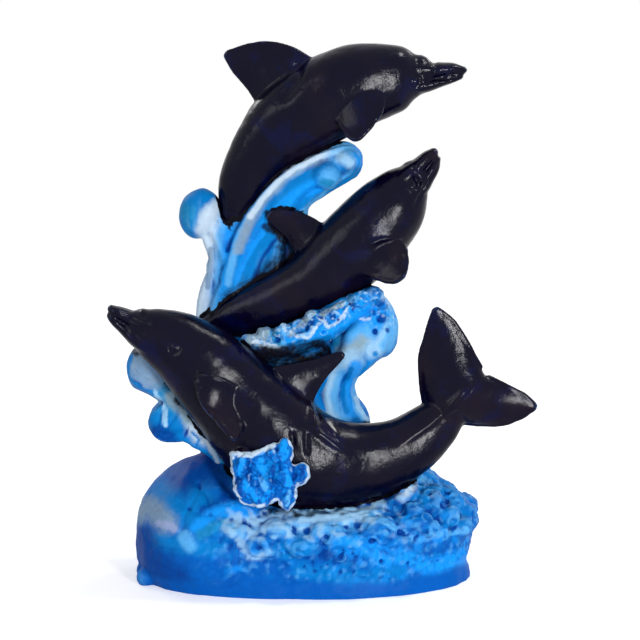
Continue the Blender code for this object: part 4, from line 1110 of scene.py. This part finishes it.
# %% The strokes of the right wave
STROKES["right"] = [
    ("azure", 4.0, [(1.1, -3.4), (6.2, 0.0), (11.2, 2.2)]),
    ("bright", 2.4, [(2.2, -7.0), (6.7, -4.5), (11.2, -1.7)]),
    ("teal", 1.8, [(5.0, -6.7), (7.8, -2.8), (9.0, 0.0)]),
    ("sky", 3.0, [(9.0, -7.3), (12.3, -4.5), (15.1, -2.8)]),
    ("sand", 2.2, [(6.7, -9.2), (9.5, -8.4), (11.8, -6.2)]),
    ("pale", 2.2, [(14.6, -8.4), (17.9, -6.2), (19.9, -1.7)]),
    ("sky", 1.8, [(18.5, -7.3), (20.4, -2.8), (20.7, 2.8)]),
    ("pale", 1.1, [(13.4, 7.8), (16.8, 7.8), (19.6, 4.5)]),
    ("bright", 2.0, [(15.1, 5.6), (16.8, 2.8), (15.7, -0.6)]),
    ("deep", 1.0, [(17.1, 4.8)]),
    ("deep", 1.4, [(17.6, 0.6)]),
    ("deep", 0.8, [(14.0, 5.6)]),
    ("deep", 0.7, [(15.1, 2.2)]),
    ("azure", 0.7, [(15.4, -9.5)]),
    ("deep", 0.7, [(19.0, -2.8)]),
    ("white", 0.35, [(9.0, 1.4), (11.8, 0.3), (14.0, 0.6)]),
    ("pale", 2.8, [(9.0, -11.2), (6.7, -14.0), (3.4, -17.4)]),
    ("pale", 2.6, [(3.9, -15.7), (1.4, -20.2), (1.7, -23.8), (3.6, -27.4)]),
    ("sky", 1.5, [(6.2, -15.1), (4.5, -19.6), (5.3, -24.6), (7.3, -27.4)]),
    ("bright", 1.7, [(10.1, -12.9), (7.8, -16.8), (7.3, -21.0), (8.4, -25.8)]),
    ("azure", 0.7, [(8.7, -14.0), (6.7, -17.9), (6.4, -21.8), (7.3, -25.8)]),
    ("sky", 0.8, [(10.4, -16.8), (9.5, -21.0), (10.6, -25.2), (12.3, -27.4)]),
    ("pale", 0.6, [(10.1, -21.8), (11.2, -25.2), (13.4, -28.0)]),
    ("black", 0.8, [(0.6, -28.3), (5.6, -29.4), (13.4, -29.1)])]
print("strokes:", len(STROKES["right"]))

# %% [markdown]
# ## The strokes of the ridge of foam
# Blue hollows, sandy and white rims, and black under it, from the dolphins it touches.

# %% The strokes of the ridge of foam
STROKES["ridge"] = [
    ("azure", 3.0, [(-13.4, -5.6), (-6.7, -4.5), (1.7, -2.8)]),
    ("bright", 1.6, [(-10.1, -6.2), (-5.0, -5.0), (0.6, -3.4)]),
    ("bright", 2.4, [(3.4, -1.7), (8.4, 1.1), (12.3, 3.9)]),
    ("sand", 2.2, [(-19.0, -5.6), (-16.8, -4.5), (-15.1, -3.4)]),
    ("white", 1.0, [(-17.9, -6.4), (-14.6, -7.3), (-11.8, -7.6)]),
    ("teal", 1.2, [(-12.9, -3.4), (-11.2, -6.7)]),
    ("sky", 0.8, [(-11.8, -1.7), (-10.1, -2.8), (-10.1, -7.8)]),
    ("sand", 1.0, [(-7.8, -3.9), (-5.0, -1.7), (-3.4, 1.1), (-1.7, 2.0)]),
    ("white", 0.5, [(-12.3, -1.1), (-10.6, -0.6), (-9.5, -3.4)]),
    ("white", 0.4, [(-8.4, -3.4), (-6.2, -5.0), (-3.4, -4.5), (-1.1, -2.2)]),
    ("sand", 0.8, [(0.6, 1.7), (3.9, 3.4), (6.7, 5.0)]),
    ("white", 0.4, [(0.0, 0.0), (2.8, -1.7), (5.6, 0.0), (7.3, 2.8)]),
    ("deep", 1.2, [(3.4, 0.8)]),
    ("deep", 0.9, [(-2.0, -0.3)]),
    ("azure", 1.2, [(-6.2, -3.4)]),
    ("deep", 0.7, [(-11.8, -4.8)]),
    ("deep", 0.9, [(9.0, 4.5)]),
    ("sky", 0.9, [(7.3, 5.0), (10.6, 6.2)]),
    ("black", 1.6, [(-17.9, -8.4), (-12.3, -9.2), (-5.6, -7.6), (-1.1, -6.7), (2.8, -9.0), (6.4, -10.4)]),
    ("black", 2.6, [(-16.2, -10.6), (-5.6, -11.2), (2.8, -11.2)])]
print("strokes:", len(STROKES["ridge"]))

# %% [markdown]
# ## The strokes of the knot of drops
# Ocean blue all over, then brighter drops, deeper gaps and a white line round its edge.

# %% The strokes of the knot of drops
STROKES["splash"] = [
    ("ocean", 12.0, [(-14.6, -44.2)]), ("azure", 3.0, [(-14.6, -42.2)]),
    ("bright", 0.8, [(-21.8, -39.2), (-22.4, -43.1)]), ("bright", 1.0, [(-16.8, -38.6), (-16.0, -42.6)]),
    ("bright", 1.0, [(-10.1, -35.0), (-10.2, -38.8)]), ("bright", 0.9, [(-9.5, -42.6), (-8.6, -46.0)]),
    ("bright", 1.0, [(-21.0, -46.0), (-18.4, -50.0)]), ("bright", 0.9, [(-14.6, -47.0), (-15.4, -50.6)]),
    ("sky", 0.6, [(-16.8, -44.4), (-15.4, -47.0)]), ("sky", 0.5, [(-8.8, -48.4), (-9.2, -51.8)]),
    ("deep", 0.8, [(-19.0, -39.6), (-20.2, -44.6)]), ("deep", 0.7, [(-13.2, -41.0), (-13.8, -45.4)]),
    ("deep", 0.8, [(-23.0, -44.6), (-22.2, -48.6)]), ("deep", 0.7, [(-4.8, -42.0), (-5.0, -44.6)]),
    ("white", 0.5, SPLASH_LOOP),
    ("white", 1.1, [(-25.2, -38.6), (-24.6, -37.4), (-19.6, -37.6), (-13.4, -35.0)])]
print("strokes:", len(STROKES["splash"]))

# %% [markdown]
# ## The strokes of the base
# Deep blue sweeps over the smooth swell, a pale way of foam in the shelter of the belly,
# azure foam at the right, and a dark ocean blue round the foot.

# %% The strokes of the base
STROKES["base"] = [
    ("ocean", 9.5, [(-47.6, -67.2), (-22.4, -71.4), (5.6, -71.4), (39.2, -67.2)]),
    ("deep", 6.0, [(-29.7, -37.0), (-34.7, -42.0), (-39.2, -48.2)]),
    ("azure", 3.6, [(-44.8, -48.7), (-37.5, -53.8), (-33.6, -50.4)]),
    ("deep", 2.0, [(-29.7, -42.0), (-26.3, -47.6), (-27.4, -52.1), (-32.2, -53.8)]),
    ("bright", 1.8, [(-34.7, -58.2), (-29.7, -54.3), (-22.4, -52.6), (-19.6, -54.9)]),
    ("teal", 1.4, [(-33.6, -60.5), (-27.4, -57.1), (-20.7, -57.1)]),
    ("azure", 2.2, [(-44.8, -61.6), (-36.4, -63.8), (-28.0, -63.8)]),
    ("deep", 3.4, [(-50.4, -60.5), (-47.0, -67.2), (-40.3, -72.2)]),
    ("grey", 3.0, [(-50.4, -53.8), (-47.6, -52.4), (-43.1, -56.6)]),
    ("lilac", 1.2, [(-44.8, -57.1), (-40.9, -58.2)]),
    ("sky", 1.8, [(-38.1, -60.5), (-36.4, -63.3)]),
    ("sky", 2.2, [(-24.6, -58.2), (-18.5, -57.1), (-12.3, -56.6)]),
    ("pale", 1.6, [(-22.4, -57.1), (-16.2, -56.6), (-11.2, -57.7)]),
    ("pale", 1.2, [(-22.4, -61.6), (-19.6, -66.1), (-14.6, -65.0)]),
    ("azure", 1.2, [(-17.6, -64.7)]),
    ("sky", 3.4, [(-9.0, -57.1), (0.0, -57.1), (7.0, -55.4), (12.9, -54.3)]),
    ("pale", 1.8, [(-10.6, -54.9), (-2.2, -55.4), (5.6, -54.3)]),
    ("pale", 2.0, [(9.0, -54.3), (12.9, -52.6), (15.7, -50.4)]),
    ("azure", 2.5, [(-9.8, -64.4), (-2.8, -63.0)]),
    ("deep", 1.7, [(2.8, -66.1), (9.0, -67.2)]),
    ("bright", 3.0, [(7.0, -63.0), (14.6, -63.8), (17.9, -67.8)]),
    ("deep", 1.4, [(12.6, -61.6)]),
    ("sky", 0.9, [(14.6, -54.3), (20.2, -57.7), (26.3, -61.6)]),
    ("azure", 4.5, [(29.1, -47.0), (35.3, -50.4), (37.0, -54.9)]),
    ("deep", 1.7, [(32.5, -49.3), (35.8, -53.8)]),
    ("white", 1.5, [(23.5, -43.7), (25.8, -45.9), (23.0, -49.3)]),
    ("sky", 0.8, [(28.0, -44.2), (30.8, -45.4)]),
    ("sky", 1.0, [(27.4, -61.6), (33.6, -59.9), (40.9, -58.8)]),
    ("bright", 2.2, [(22.4, -66.1), (30.8, -68.9), (39.8, -66.1)]),
    ("azure", 2.2, [(-5.6, -70.0), (8.4, -72.2), (22.4, -71.1)]),
    ("ocean", 2.5, [(-47.6, -75.0), (-22.4, -76.7), (2.8, -76.7), (28.0, -75.0), (41.4, -71.4)]),
    ("lilac", 0.7, [(42.8, -61.6), (43.1, -67.8)]),
    ("black", 1.4, [(-13.4, -54.3), (-5.6, -54.3), (2.8, -53.5), (10.1, -52.1)]),
    ("black", 0.8, [(10.1, -51.5), (15.7, -48.7), (21.3, -45.4)])]
print("strokes:", len(STROKES["base"]))

# %% [markdown]
# ## Laying the strokes
# The strokes of each piece are laid in the order of its list, so later ones cover earlier ones. The
# smooth waves take softer strokes than the foam does.

# %% Lay the strokes
SOFTNESS = {"tall": 2.0, "swell": 1.6, "right": 1.8, "ridge": 1.0, "splash": 1.0, "base": 1.7}
BLACK_SOFTNESS = 1.4
for name, strokes in STROKES.items():
    for paint, width, path in strokes:
        brush(WATER[name], paint, path, width, BLACK_SOFTNESS if paint == "black" else SOFTNESS[name])
print("strokes in all:", sum(len(strokes) for strokes in STROKES.values()))

# %% [markdown]
# ## Dabbing the foam
# On the foam the strokes are broken up with dabs, so its colours stand in small patches: light, deep
# and bright specks in the crest, on the ridge and in the knot, and larger ones on the base, where a
# pale way in the shelter of the belly stays calmer. The finished colours are kept on the mesh.

# %% Dab the foam


def dab(clay, name, size, seed, cover, start, contrast):
    """Lay a pigment in patches of a size; start and contrast say how much of the clay they take."""
    lay(clay, name, cover * smooth(start + contrast * clouds(clay.points, size, seed)))


pale_way = [(-23.5, -57.1), (-8.4, -57.1), (5.6, -55.4), (14.6, -52.6)]
sheltered = smooth((6.5 - reach_of(base.seen, pale_way)[0]) / 4)
mottled = band_of(base, 4.0) * (1 - 0.6 * sheltered)
crest_zone = smooth((6.5 - reach_of(right.seen, [(14.0, 5.6), (17.9, 2.2)])[0]) / 4)
splash_inside = reach_of(splash.seen, SPLASH_LOOP)[0] > 1.0
for name, size in (("white", 1.1), ("deep", 1.0), ("bright", 1.5)):
    dab(right, name, size, len(name) + 5, 0.7 * crest_zone, -0.4, 2.6)
for name, size, share in (("bright", 3.2, 0.6), ("azure", 1.7, 0.65),
                          ("deep", 1.3, 0.5), ("sky", 1.4, 0.45)):
    dab(base, name, size, len(name), share * mottled, -0.3, 2.4)
dab(base, "pale", 2.2, 63, (0.35 + 0.5 * sheltered) * band_of(base), -0.5 + sheltered, 2.2)
for name, size in (("white", 1.1), ("deep", 0.9), ("sky", 0.8)):
    dab(ridge, name, size, len(name) + 2, 0.65 * ridge.crest, -0.5, 2.6)
for name, size in (("deep", 1.1), ("bright", 0.8)):
    dab(splash, name, size, len(name), 0.7 * splash_inside, -0.2, 2.2)


def keep_colour(clay):
    """Keep the painted colour on the mesh."""
    attribute = clay.piece.data.attributes.new("paint", "FLOAT_COLOR", "POINT")
    rgba = np.column_stack([np.clip(clay.colour, 0, 1), np.ones(len(clay.colour))])
    attribute.data.foreach_set("color", rgba.astype(np.float32).ravel())


for clay in WATER.values():
    keep_colour(clay)
print("the sheltered pale way covers", round(float(sheltered.mean()), 2), "of the base")

# %% [markdown]
# ## Wiring nodes
# Each of the materials is a small net of nodes. A few helpers keep its wiring readable: one adds a node
# and links or sets its sockets, others do a sum, a ramp, a blend or a patch of noise.

# %% Helpers for the nodes


def node(tree, kind, links=(), **settings):
    """Add a node, set its values, and link sockets into its inputs by name or number."""
    made = tree.nodes.new(kind)
    for name, value in settings.items():
        setattr(made, name, value)
    for socket, source in dict(links).items():
        if isinstance(source, bpy.types.NodeSocket):
            tree.links.new(source, made.inputs[socket])
        else:
            made.inputs[socket].default_value = source
    return made


def calculate(tree, operation, first, second=0.0, third=0.0):
    """A sum with up to three terms, by the name of Blender's Math operation."""
    return node(tree, "ShaderNodeMath", {0: first, 1: second, 2: third}, operation=operation).outputs[0]


def ramp(tree, value, start, end):
    """A value that goes softly from 0 to 1 as another goes from start to end."""
    made = node(tree, "ShaderNodeMapRange", {"Value": value, "From Min": start, "From Max": end},
                interpolation_type="SMOOTHSTEP")
    return made.outputs["Result"]


def blend(tree, share, under, over):
    """One colour over another, by a share; 0, 6, 7 and 2 are the colour sockets of a Mix node."""
    return node(tree, "ShaderNodeMix", {0: share, 6: under, 7: over},
                data_type="RGBA", clamp_factor=True).outputs[2]


def new_group(name, inputs, outputs):
    """A node group with named sockets, and the sockets that it is given and has to fill."""
    group = bpy.data.node_groups.new(name, "ShaderNodeTree")
    for label, kind, value in inputs:
        socket = group.interface.new_socket(label, in_out="INPUT", socket_type=kind)
        socket.default_value = value
    for label, kind in outputs:
        group.interface.new_socket(label, in_out="OUTPUT", socket_type=kind)
    return group, group.nodes.new("NodeGroupInput").outputs, group.nodes.new("NodeGroupOutput").inputs


MILLIMETRES = 1000.0                         # in a metre


def grain(tree, size, detail=2.0, roughness=0.5, offset=0.0):
    """Noise with lumps of a size in millimetres."""
    place = node(tree, "ShaderNodeTexCoord").outputs["Object"]
    moved = node(tree, "ShaderNodeVectorMath", {0: place, 1: (offset, offset, offset)}, operation="ADD")
    scale = calculate(tree, "DIVIDE", MILLIMETRES, size)
    return node(tree, "ShaderNodeTexNoise", {"Vector": moved.outputs[0], "Scale": scale, "Detail": detail,
                                             "Roughness": roughness}).outputs["Fac"]


print("the noise is scaled from millimetres, of which a metre has", int(MILLIMETRES))

# %% [markdown]
# ## Shared effects for the materials
# Three effects are used by more than one material, so each is a node group with named sockets: paint
# that breaks up at its edge, the lumpy skin that a brush and a mould leave, and the streaks of a brush.
# Broken paint serves three times on the water alone: for the deep blue in the hollows (partly a wash,
# partly painted shade), for the lighter rims (partly dry-brush, partly a painted highlight) and for the
# spilt black.

# %% Build the node groups
FLOAT, COLOUR = "NodeSocketFloat", "NodeSocketColor"


def build_broken_paint():
    """Paint laid where a mask is high; grain breaks up its edge."""
    group, given, result = new_group(
        "broken_paint",
        [("Under", COLOUR, (0, 0, 0, 1)), ("Paint", COLOUR, (1, 1, 1, 1)), ("Mask", FLOAT, 0.0),
         ("Start", FLOAT, 0.3), ("End", FLOAT, 0.7), ("Grain Size", FLOAT, 0.8), ("Break Up", FLOAT, 0.6),
         ("Strength", FLOAT, 1.0)],
        [("Color", COLOUR), ("Cover", FLOAT)])
    spots = grain(group, given["Grain Size"], 3.0)
    shift = calculate(group, "MULTIPLY", calculate(group, "SUBTRACT", spots, 0.5), given["Break Up"])
    edge = ramp(group, calculate(group, "ADD", given["Mask"], shift), given["Start"], given["End"])
    cover = calculate(group, "MULTIPLY", edge, given["Strength"])
    group.links.new(blend(group, cover, given["Under"], given["Paint"]), result["Color"])
    group.links.new(cover, result["Cover"])
    return group


def build_worked_skin():
    """The height of a hand-worked, brushed and cast surface: soft lumps, finer peel and pinholes."""
    group, given, result = new_group(
        "worked_skin",
        [("Lump Size", FLOAT, 3.0), ("Peel Size", FLOAT, 0.8), ("Lumps", FLOAT, 1.0), ("Peel", FLOAT, 0.5),
         ("Pinholes", FLOAT, 0.2)],
        [("Height", FLOAT)])
    lumps = calculate(group, "MULTIPLY", grain(group, given["Lump Size"], 1.0), given["Lumps"])
    peel = calculate(group, "MULTIPLY", grain(group, given["Peel Size"], 3.0, 0.6, 0.013), given["Peel"])
    hole_size = calculate(group, "MULTIPLY", given["Peel Size"], 1.7)
    holes = ramp(group, grain(group, hole_size, 1.0, 0.5, 0.031), 0.70, 0.78)
    height = calculate(group, "SUBTRACT", calculate(group, "ADD", lumps, peel),
                       calculate(group, "MULTIPLY", holes, given["Pinholes"]))
    group.links.new(height, result["Height"])
    return group


def build_streaks():
    """Brush streaks: a value round 1 that darkens and lightens a coat a little."""
    group, given, result = new_group(
        "brush_streaks", [("Streak Size", FLOAT, 1.5), ("Strength", FLOAT, 0.2)], [("Factor", FLOAT)])
    tone = calculate(group, "SUBTRACT", grain(group, given["Streak Size"], 4.0, 0.65, 0.007), 0.5)
    group.links.new(calculate(group, "MULTIPLY_ADD", tone, given["Strength"], 1.0), result["Factor"])
    return group


def use(tree, group, **links):
    """Place a node group with its own values; an underscore stands for a space in a socket's name."""
    return node(tree, "ShaderNodeGroup", {name.replace("_", " "): value for name, value in links.items()},
                node_tree=group).outputs


BROKEN_PAINT = build_broken_paint()
WORKED_SKIN = build_worked_skin()
STREAKS = build_streaks()
print("groups:", [group.name for group in bpy.data.node_groups])

# %% [markdown]
# ## The water's paint
# The painted colour comes from the strokes. On top of it the proud rims get sky blue on the water and
# a paler blue on the foam, partly as dry-brushed paint and partly as a painted highlight; the hollows
# get a deep blue, partly as a wash and partly as painted shade; and the dolphins' black has bled over
# the edge where they meet the water. The paint dries satin, a little smoother where the black has run.

# %% Make the water's paint
SATIN = 0.44
BLACK_SMOOTHER = -0.12
SPILL_REACH = 2.2                            # how far the black runs, in steps


def new_material(name, ior):
    """A material with its node tree and its Principled shader."""
    material = bpy.data.materials.new(name)
    material.use_nodes = True
    tree = material.node_tree
    shader = tree.nodes["Principled BSDF"]
    shader.inputs["IOR"].default_value = ior
    return material, tree, shader


def read(tree, name, output="Fac"):
    """A value or colour that was kept on the mesh."""
    return node(tree, "ShaderNodeAttribute", attribute_name=name, attribute_type="GEOMETRY").outputs[output]


def rgba(name):
    """A pigment with full cover, as a colour socket wants it."""
    return (*PIGMENTS[name], 1.0)


def emboss(tree, shader, height, strength, distance):
    """Let a height bump the surface, at a distance in metres."""
    bump = node(tree, "ShaderNodeBump", {"Height": height, "Strength": strength, "Distance": distance})
    tree.links.new(bump.outputs[0], shader.inputs["Normal"])


def scaled(tree, colour, factor):
    """A colour made darker or lighter by a factor."""
    made = node(tree, "ShaderNodeVectorMath", {0: colour, 3: factor}, operation="SCALE")
    return made.outputs[0]


def make_sea_paint(name, rim, rim_start, strength):
    """Paint for the water; rim is the pigment laid where the skin stands proud, partly dry-brushed paint
    and partly a painted highlight.
    """
    material, tree, shader = new_material(name, 1.12)
    proud = read(tree, "proud")
    coat = scaled(tree, read(tree, "paint", "Color"),
                  use(tree, STREAKS, Streak_Size=1.4, Strength=0.35)["Factor"])
    # deep blue in the hollows: partly a wash, partly painted shade
    hollow = calculate(tree, "MULTIPLY", proud, -1.0)
    washed_and_shaded = use(tree, BROKEN_PAINT, Under=coat, Paint=rgba("deep"), Mask=hollow, Start=0.35, End=1.5,
                 Grain_Size=0.7, Break_Up=0.5)["Color"]
    # lighter pigment on the proud rims: partly dry-brushed paint, partly a painted highlight
    rimmed_and_highlit = use(tree, BROKEN_PAINT, Under=washed_and_shaded, Paint=rgba(rim), Mask=proud, Start=rim_start,
                 End=rim_start + 1.2, Grain_Size=0.6, Break_Up=0.6, Strength=strength)["Color"]
    away = calculate(tree, "DIVIDE", read(tree, "near_dolphin"), SPILL_REACH)
    spill = calculate(tree, "SUBTRACT", 1.0, away)
    bled = use(tree, BROKEN_PAINT, Under=rimmed_and_highlit, Paint=rgba("black"), Mask=spill, Start=0.50, End=0.60,
               Grain_Size=2.6, Break_Up=1.0)
    tree.links.new(bled["Color"], shader.inputs["Base Color"])
    roughness = calculate(tree, "MULTIPLY_ADD", bled["Cover"], BLACK_SMOOTHER, SATIN)
    tree.links.new(roughness, shader.inputs["Roughness"])
    height = use(tree, WORKED_SKIN, Lump_Size=2.6, Peel_Size=0.7, Lumps=0.6, Peel=0.35, Pinholes=0.15)
    emboss(tree, shader, height["Height"], 0.5, 0.0004)
    return material


SEA = make_sea_paint("sea_paint", "sky", 0.7, 0.45)
FOAM = make_sea_paint("foam_paint", "pale", 0.5, 0.85)
print("water materials:", SEA.name, FOAM.name)

# %% [markdown]
# ## The gloss of the dolphins
# The dolphins are a glossy near-black, laid so thick that it shows soft lumps and an orange peel. It
# isn't one black: large patches lean to violet, brown or a deep blue, and a little blue is laid on
# the edges, partly as rubbed paint and partly as a painted rim highlight. The shine changes from spot
# to spot, which breaks each lamp into many small glints.

# %% Make the dolphins' gloss


def make_dolphin_gloss():
    """Near-black gloss with a violet-brown cast and blue on the edges, partly rubbed paint and partly a
    painted rim highlight.
    """
    material, tree, shader = new_material("dolphin_gloss", 1.22)
    cast = ramp(tree, grain(tree, 14.0, 2.0), 0.45, 0.7)
    coat = blend(tree, cast, (0.0010, 0.0007, 0.009, 1), (0.005, 0.0025, 0.010, 1))
    patches = ramp(tree, grain(tree, 9.0, 3.0, 0.6, 0.05), 0.52, 0.68)
    blued = blend(tree, calculate(tree, "MULTIPLY", patches, 0.45), coat, (0.001, 0.003, 0.040, 1))
    # blue on the proud edges: partly rubbed paint, partly a painted rim highlight
    rubbed_and_rim_lit = use(tree, BROKEN_PAINT, Under=blued, Paint=(0.016, 0.055, 0.20, 1), Mask=read(tree, "proud"),
                 Start=0.8, End=1.9, Grain_Size=1.1, Break_Up=1.5)["Color"]
    tree.links.new(rubbed_and_rim_lit, shader.inputs["Base Color"])
    sheen = calculate(tree, "MULTIPLY_ADD", grain(tree, 1.6, 3.0, 0.6, 0.02), 0.24, 0.04)
    tree.links.new(sheen, shader.inputs["Roughness"])
    height = use(tree, WORKED_SKIN, Lump_Size=2.4, Peel_Size=0.6, Lumps=1.0, Peel=0.7, Pinholes=0.1)
    emboss(tree, shader, height["Height"], 1.0, 0.00009)
    return material


GLOSS = make_dolphin_gloss()
for clay in PIECES:
    coat = GLOSS if clay in DOLPHINS.values() else FOAM if clay in (ridge, splash) else SEA
    clay.piece.data.materials.clear()
    clay.piece.data.materials.append(coat)
print("the dolphins wear", GLOSS.name)

# %% [markdown]
# ## The lamps
# The photograph is taken in a bright soft studio. The lamps are softboxes: small enough for the gloss
# to catch them in broken glints, and dim enough that each colour renders as it is mixed. The key is a
# tall narrow one to the right of the camera, and two from behind light the rims.

# %% Light the studio


def softbox(name, place, width, height, power):
    """A rectangular lamp that looks at the middle of the figurine; sizes in metres, power in watts."""
    data = bpy.data.lights.new(name, "AREA")
    data.shape = "RECTANGLE"
    data.size = width
    data.size_y = height
    data.energy = power
    aim(put_in_scene(name, data), place, VIEW_MIDDLE)


softbox("key", (0.36, -0.88, 0.17), 0.07, 0.32, 7.0)
softbox("left", (-0.72, -0.62, 0.50), 0.45, 0.45, 2.2)
softbox("top", (0.45, 0.05, 0.90), 0.15, 0.15, 2.6)
softbox("back_left", (-0.60, 0.70, 0.60), 0.30, 0.30, 2.4)
softbox("back_right", (0.60, 0.80, 0.50), 0.30, 0.30, 1.9)
print("lamps:", len(bpy.data.lights))

# %% [markdown]
# ## A white world
# The backdrop is pure white, and the gloss reflects it. Yet a world that bright would wash the colours
# out, so everything that isn't seen or mirrored gets a lower, plain level of light.

# %% Make the world white
WORLD_LIGHT, WORLD_SEEN = 0.34, 0.66


def white_world():
    """White to the camera and in reflections; a plain level of light for everything else."""
    world = bpy.data.worlds.new("studio")
    bpy.context.scene.world = world
    world.use_nodes = True
    tree = world.node_tree
    background = tree.nodes["Background"]
    path = node(tree, "ShaderNodeLightPath").outputs
    seen = calculate(tree, "MAXIMUM", path["Is Camera Ray"],
                     calculate(tree, "MAXIMUM", path["Is Glossy Ray"], path["Is Transmission Ray"]))
    background.inputs["Color"].default_value = (1, 1, 1, 1)
    strength = calculate(tree, "MULTIPLY_ADD", seen, WORLD_SEEN, WORLD_LIGHT)
    tree.links.new(strength, background.inputs["Strength"])


white_world()
print("world:", bpy.context.scene.world.name)

# %% [markdown]
# ## A pale floor
# The floor is a pale sheet that keeps the figurine's soft shadow and fades out into the white of the
# world, so it shows no edge. A little glow, for the camera alone, lifts it to the white of the photo.

# %% Lay the floor
FLOOR_GLOW = 0.36
FADE_START, FADE_END = 0.35, 0.95            # shares of the floor's reach


def make_floor(reach):
    """A pale floor that fades out into the white of the world."""
    material = bpy.data.materials.new("studio_floor")
    material.use_nodes = True
    tree = material.node_tree
    shader = tree.nodes["Principled BSDF"]
    shader.inputs["Base Color"].default_value = (0.93, 0.93, 0.94, 1)
    shader.inputs["Roughness"].default_value = 0.7
    shader.inputs["Emission Color"].default_value = (1, 1, 1, 1)
    camera_ray = node(tree, "ShaderNodeLightPath").outputs["Is Camera Ray"]
    glow = calculate(tree, "MULTIPLY", camera_ray, FLOOR_GLOW)
    tree.links.new(glow, shader.inputs["Emission Strength"])
    place = node(tree, "ShaderNodeTexCoord").outputs["Object"]
    away = node(tree, "ShaderNodeVectorMath", {0: place}, operation="LENGTH").outputs["Value"]
    fade = ramp(tree, away, reach * FADE_START, reach * FADE_END)
    clear = node(tree, "ShaderNodeBsdfTransparent").outputs[0]
    mixed = node(tree, "ShaderNodeMixShader", {0: fade, 1: shader.outputs[0], 2: clear})
    tree.links.new(mixed.outputs[0], tree.nodes["Material Output"].inputs["Surface"])
    mesh = bpy.data.meshes.new("studio_floor")
    mesh.from_pydata([(-reach, -reach, 0), (reach, -reach, 0), (reach, reach, 0), (-reach, reach, 0)], [],
                     [(0, 1, 2, 3)])
    mesh.materials.append(material)
    return put_in_scene("studio_floor", mesh)


make_floor(0.9)
bpy.context.scene.view_settings.view_transform = "Standard"
print("view transform:", bpy.context.scene.view_settings.view_transform)

# %% [markdown]
# ## Handing over
# Every piece rides on the one body of the part and takes the place of its plain solid.

# %% Tie the pieces to the part
for clay in PIECES:
    clay.piece.data.shade_smooth()
    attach(clay.piece, "root")
    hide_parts("dolphin_figurine")
print("pieces:", len(PIECES))
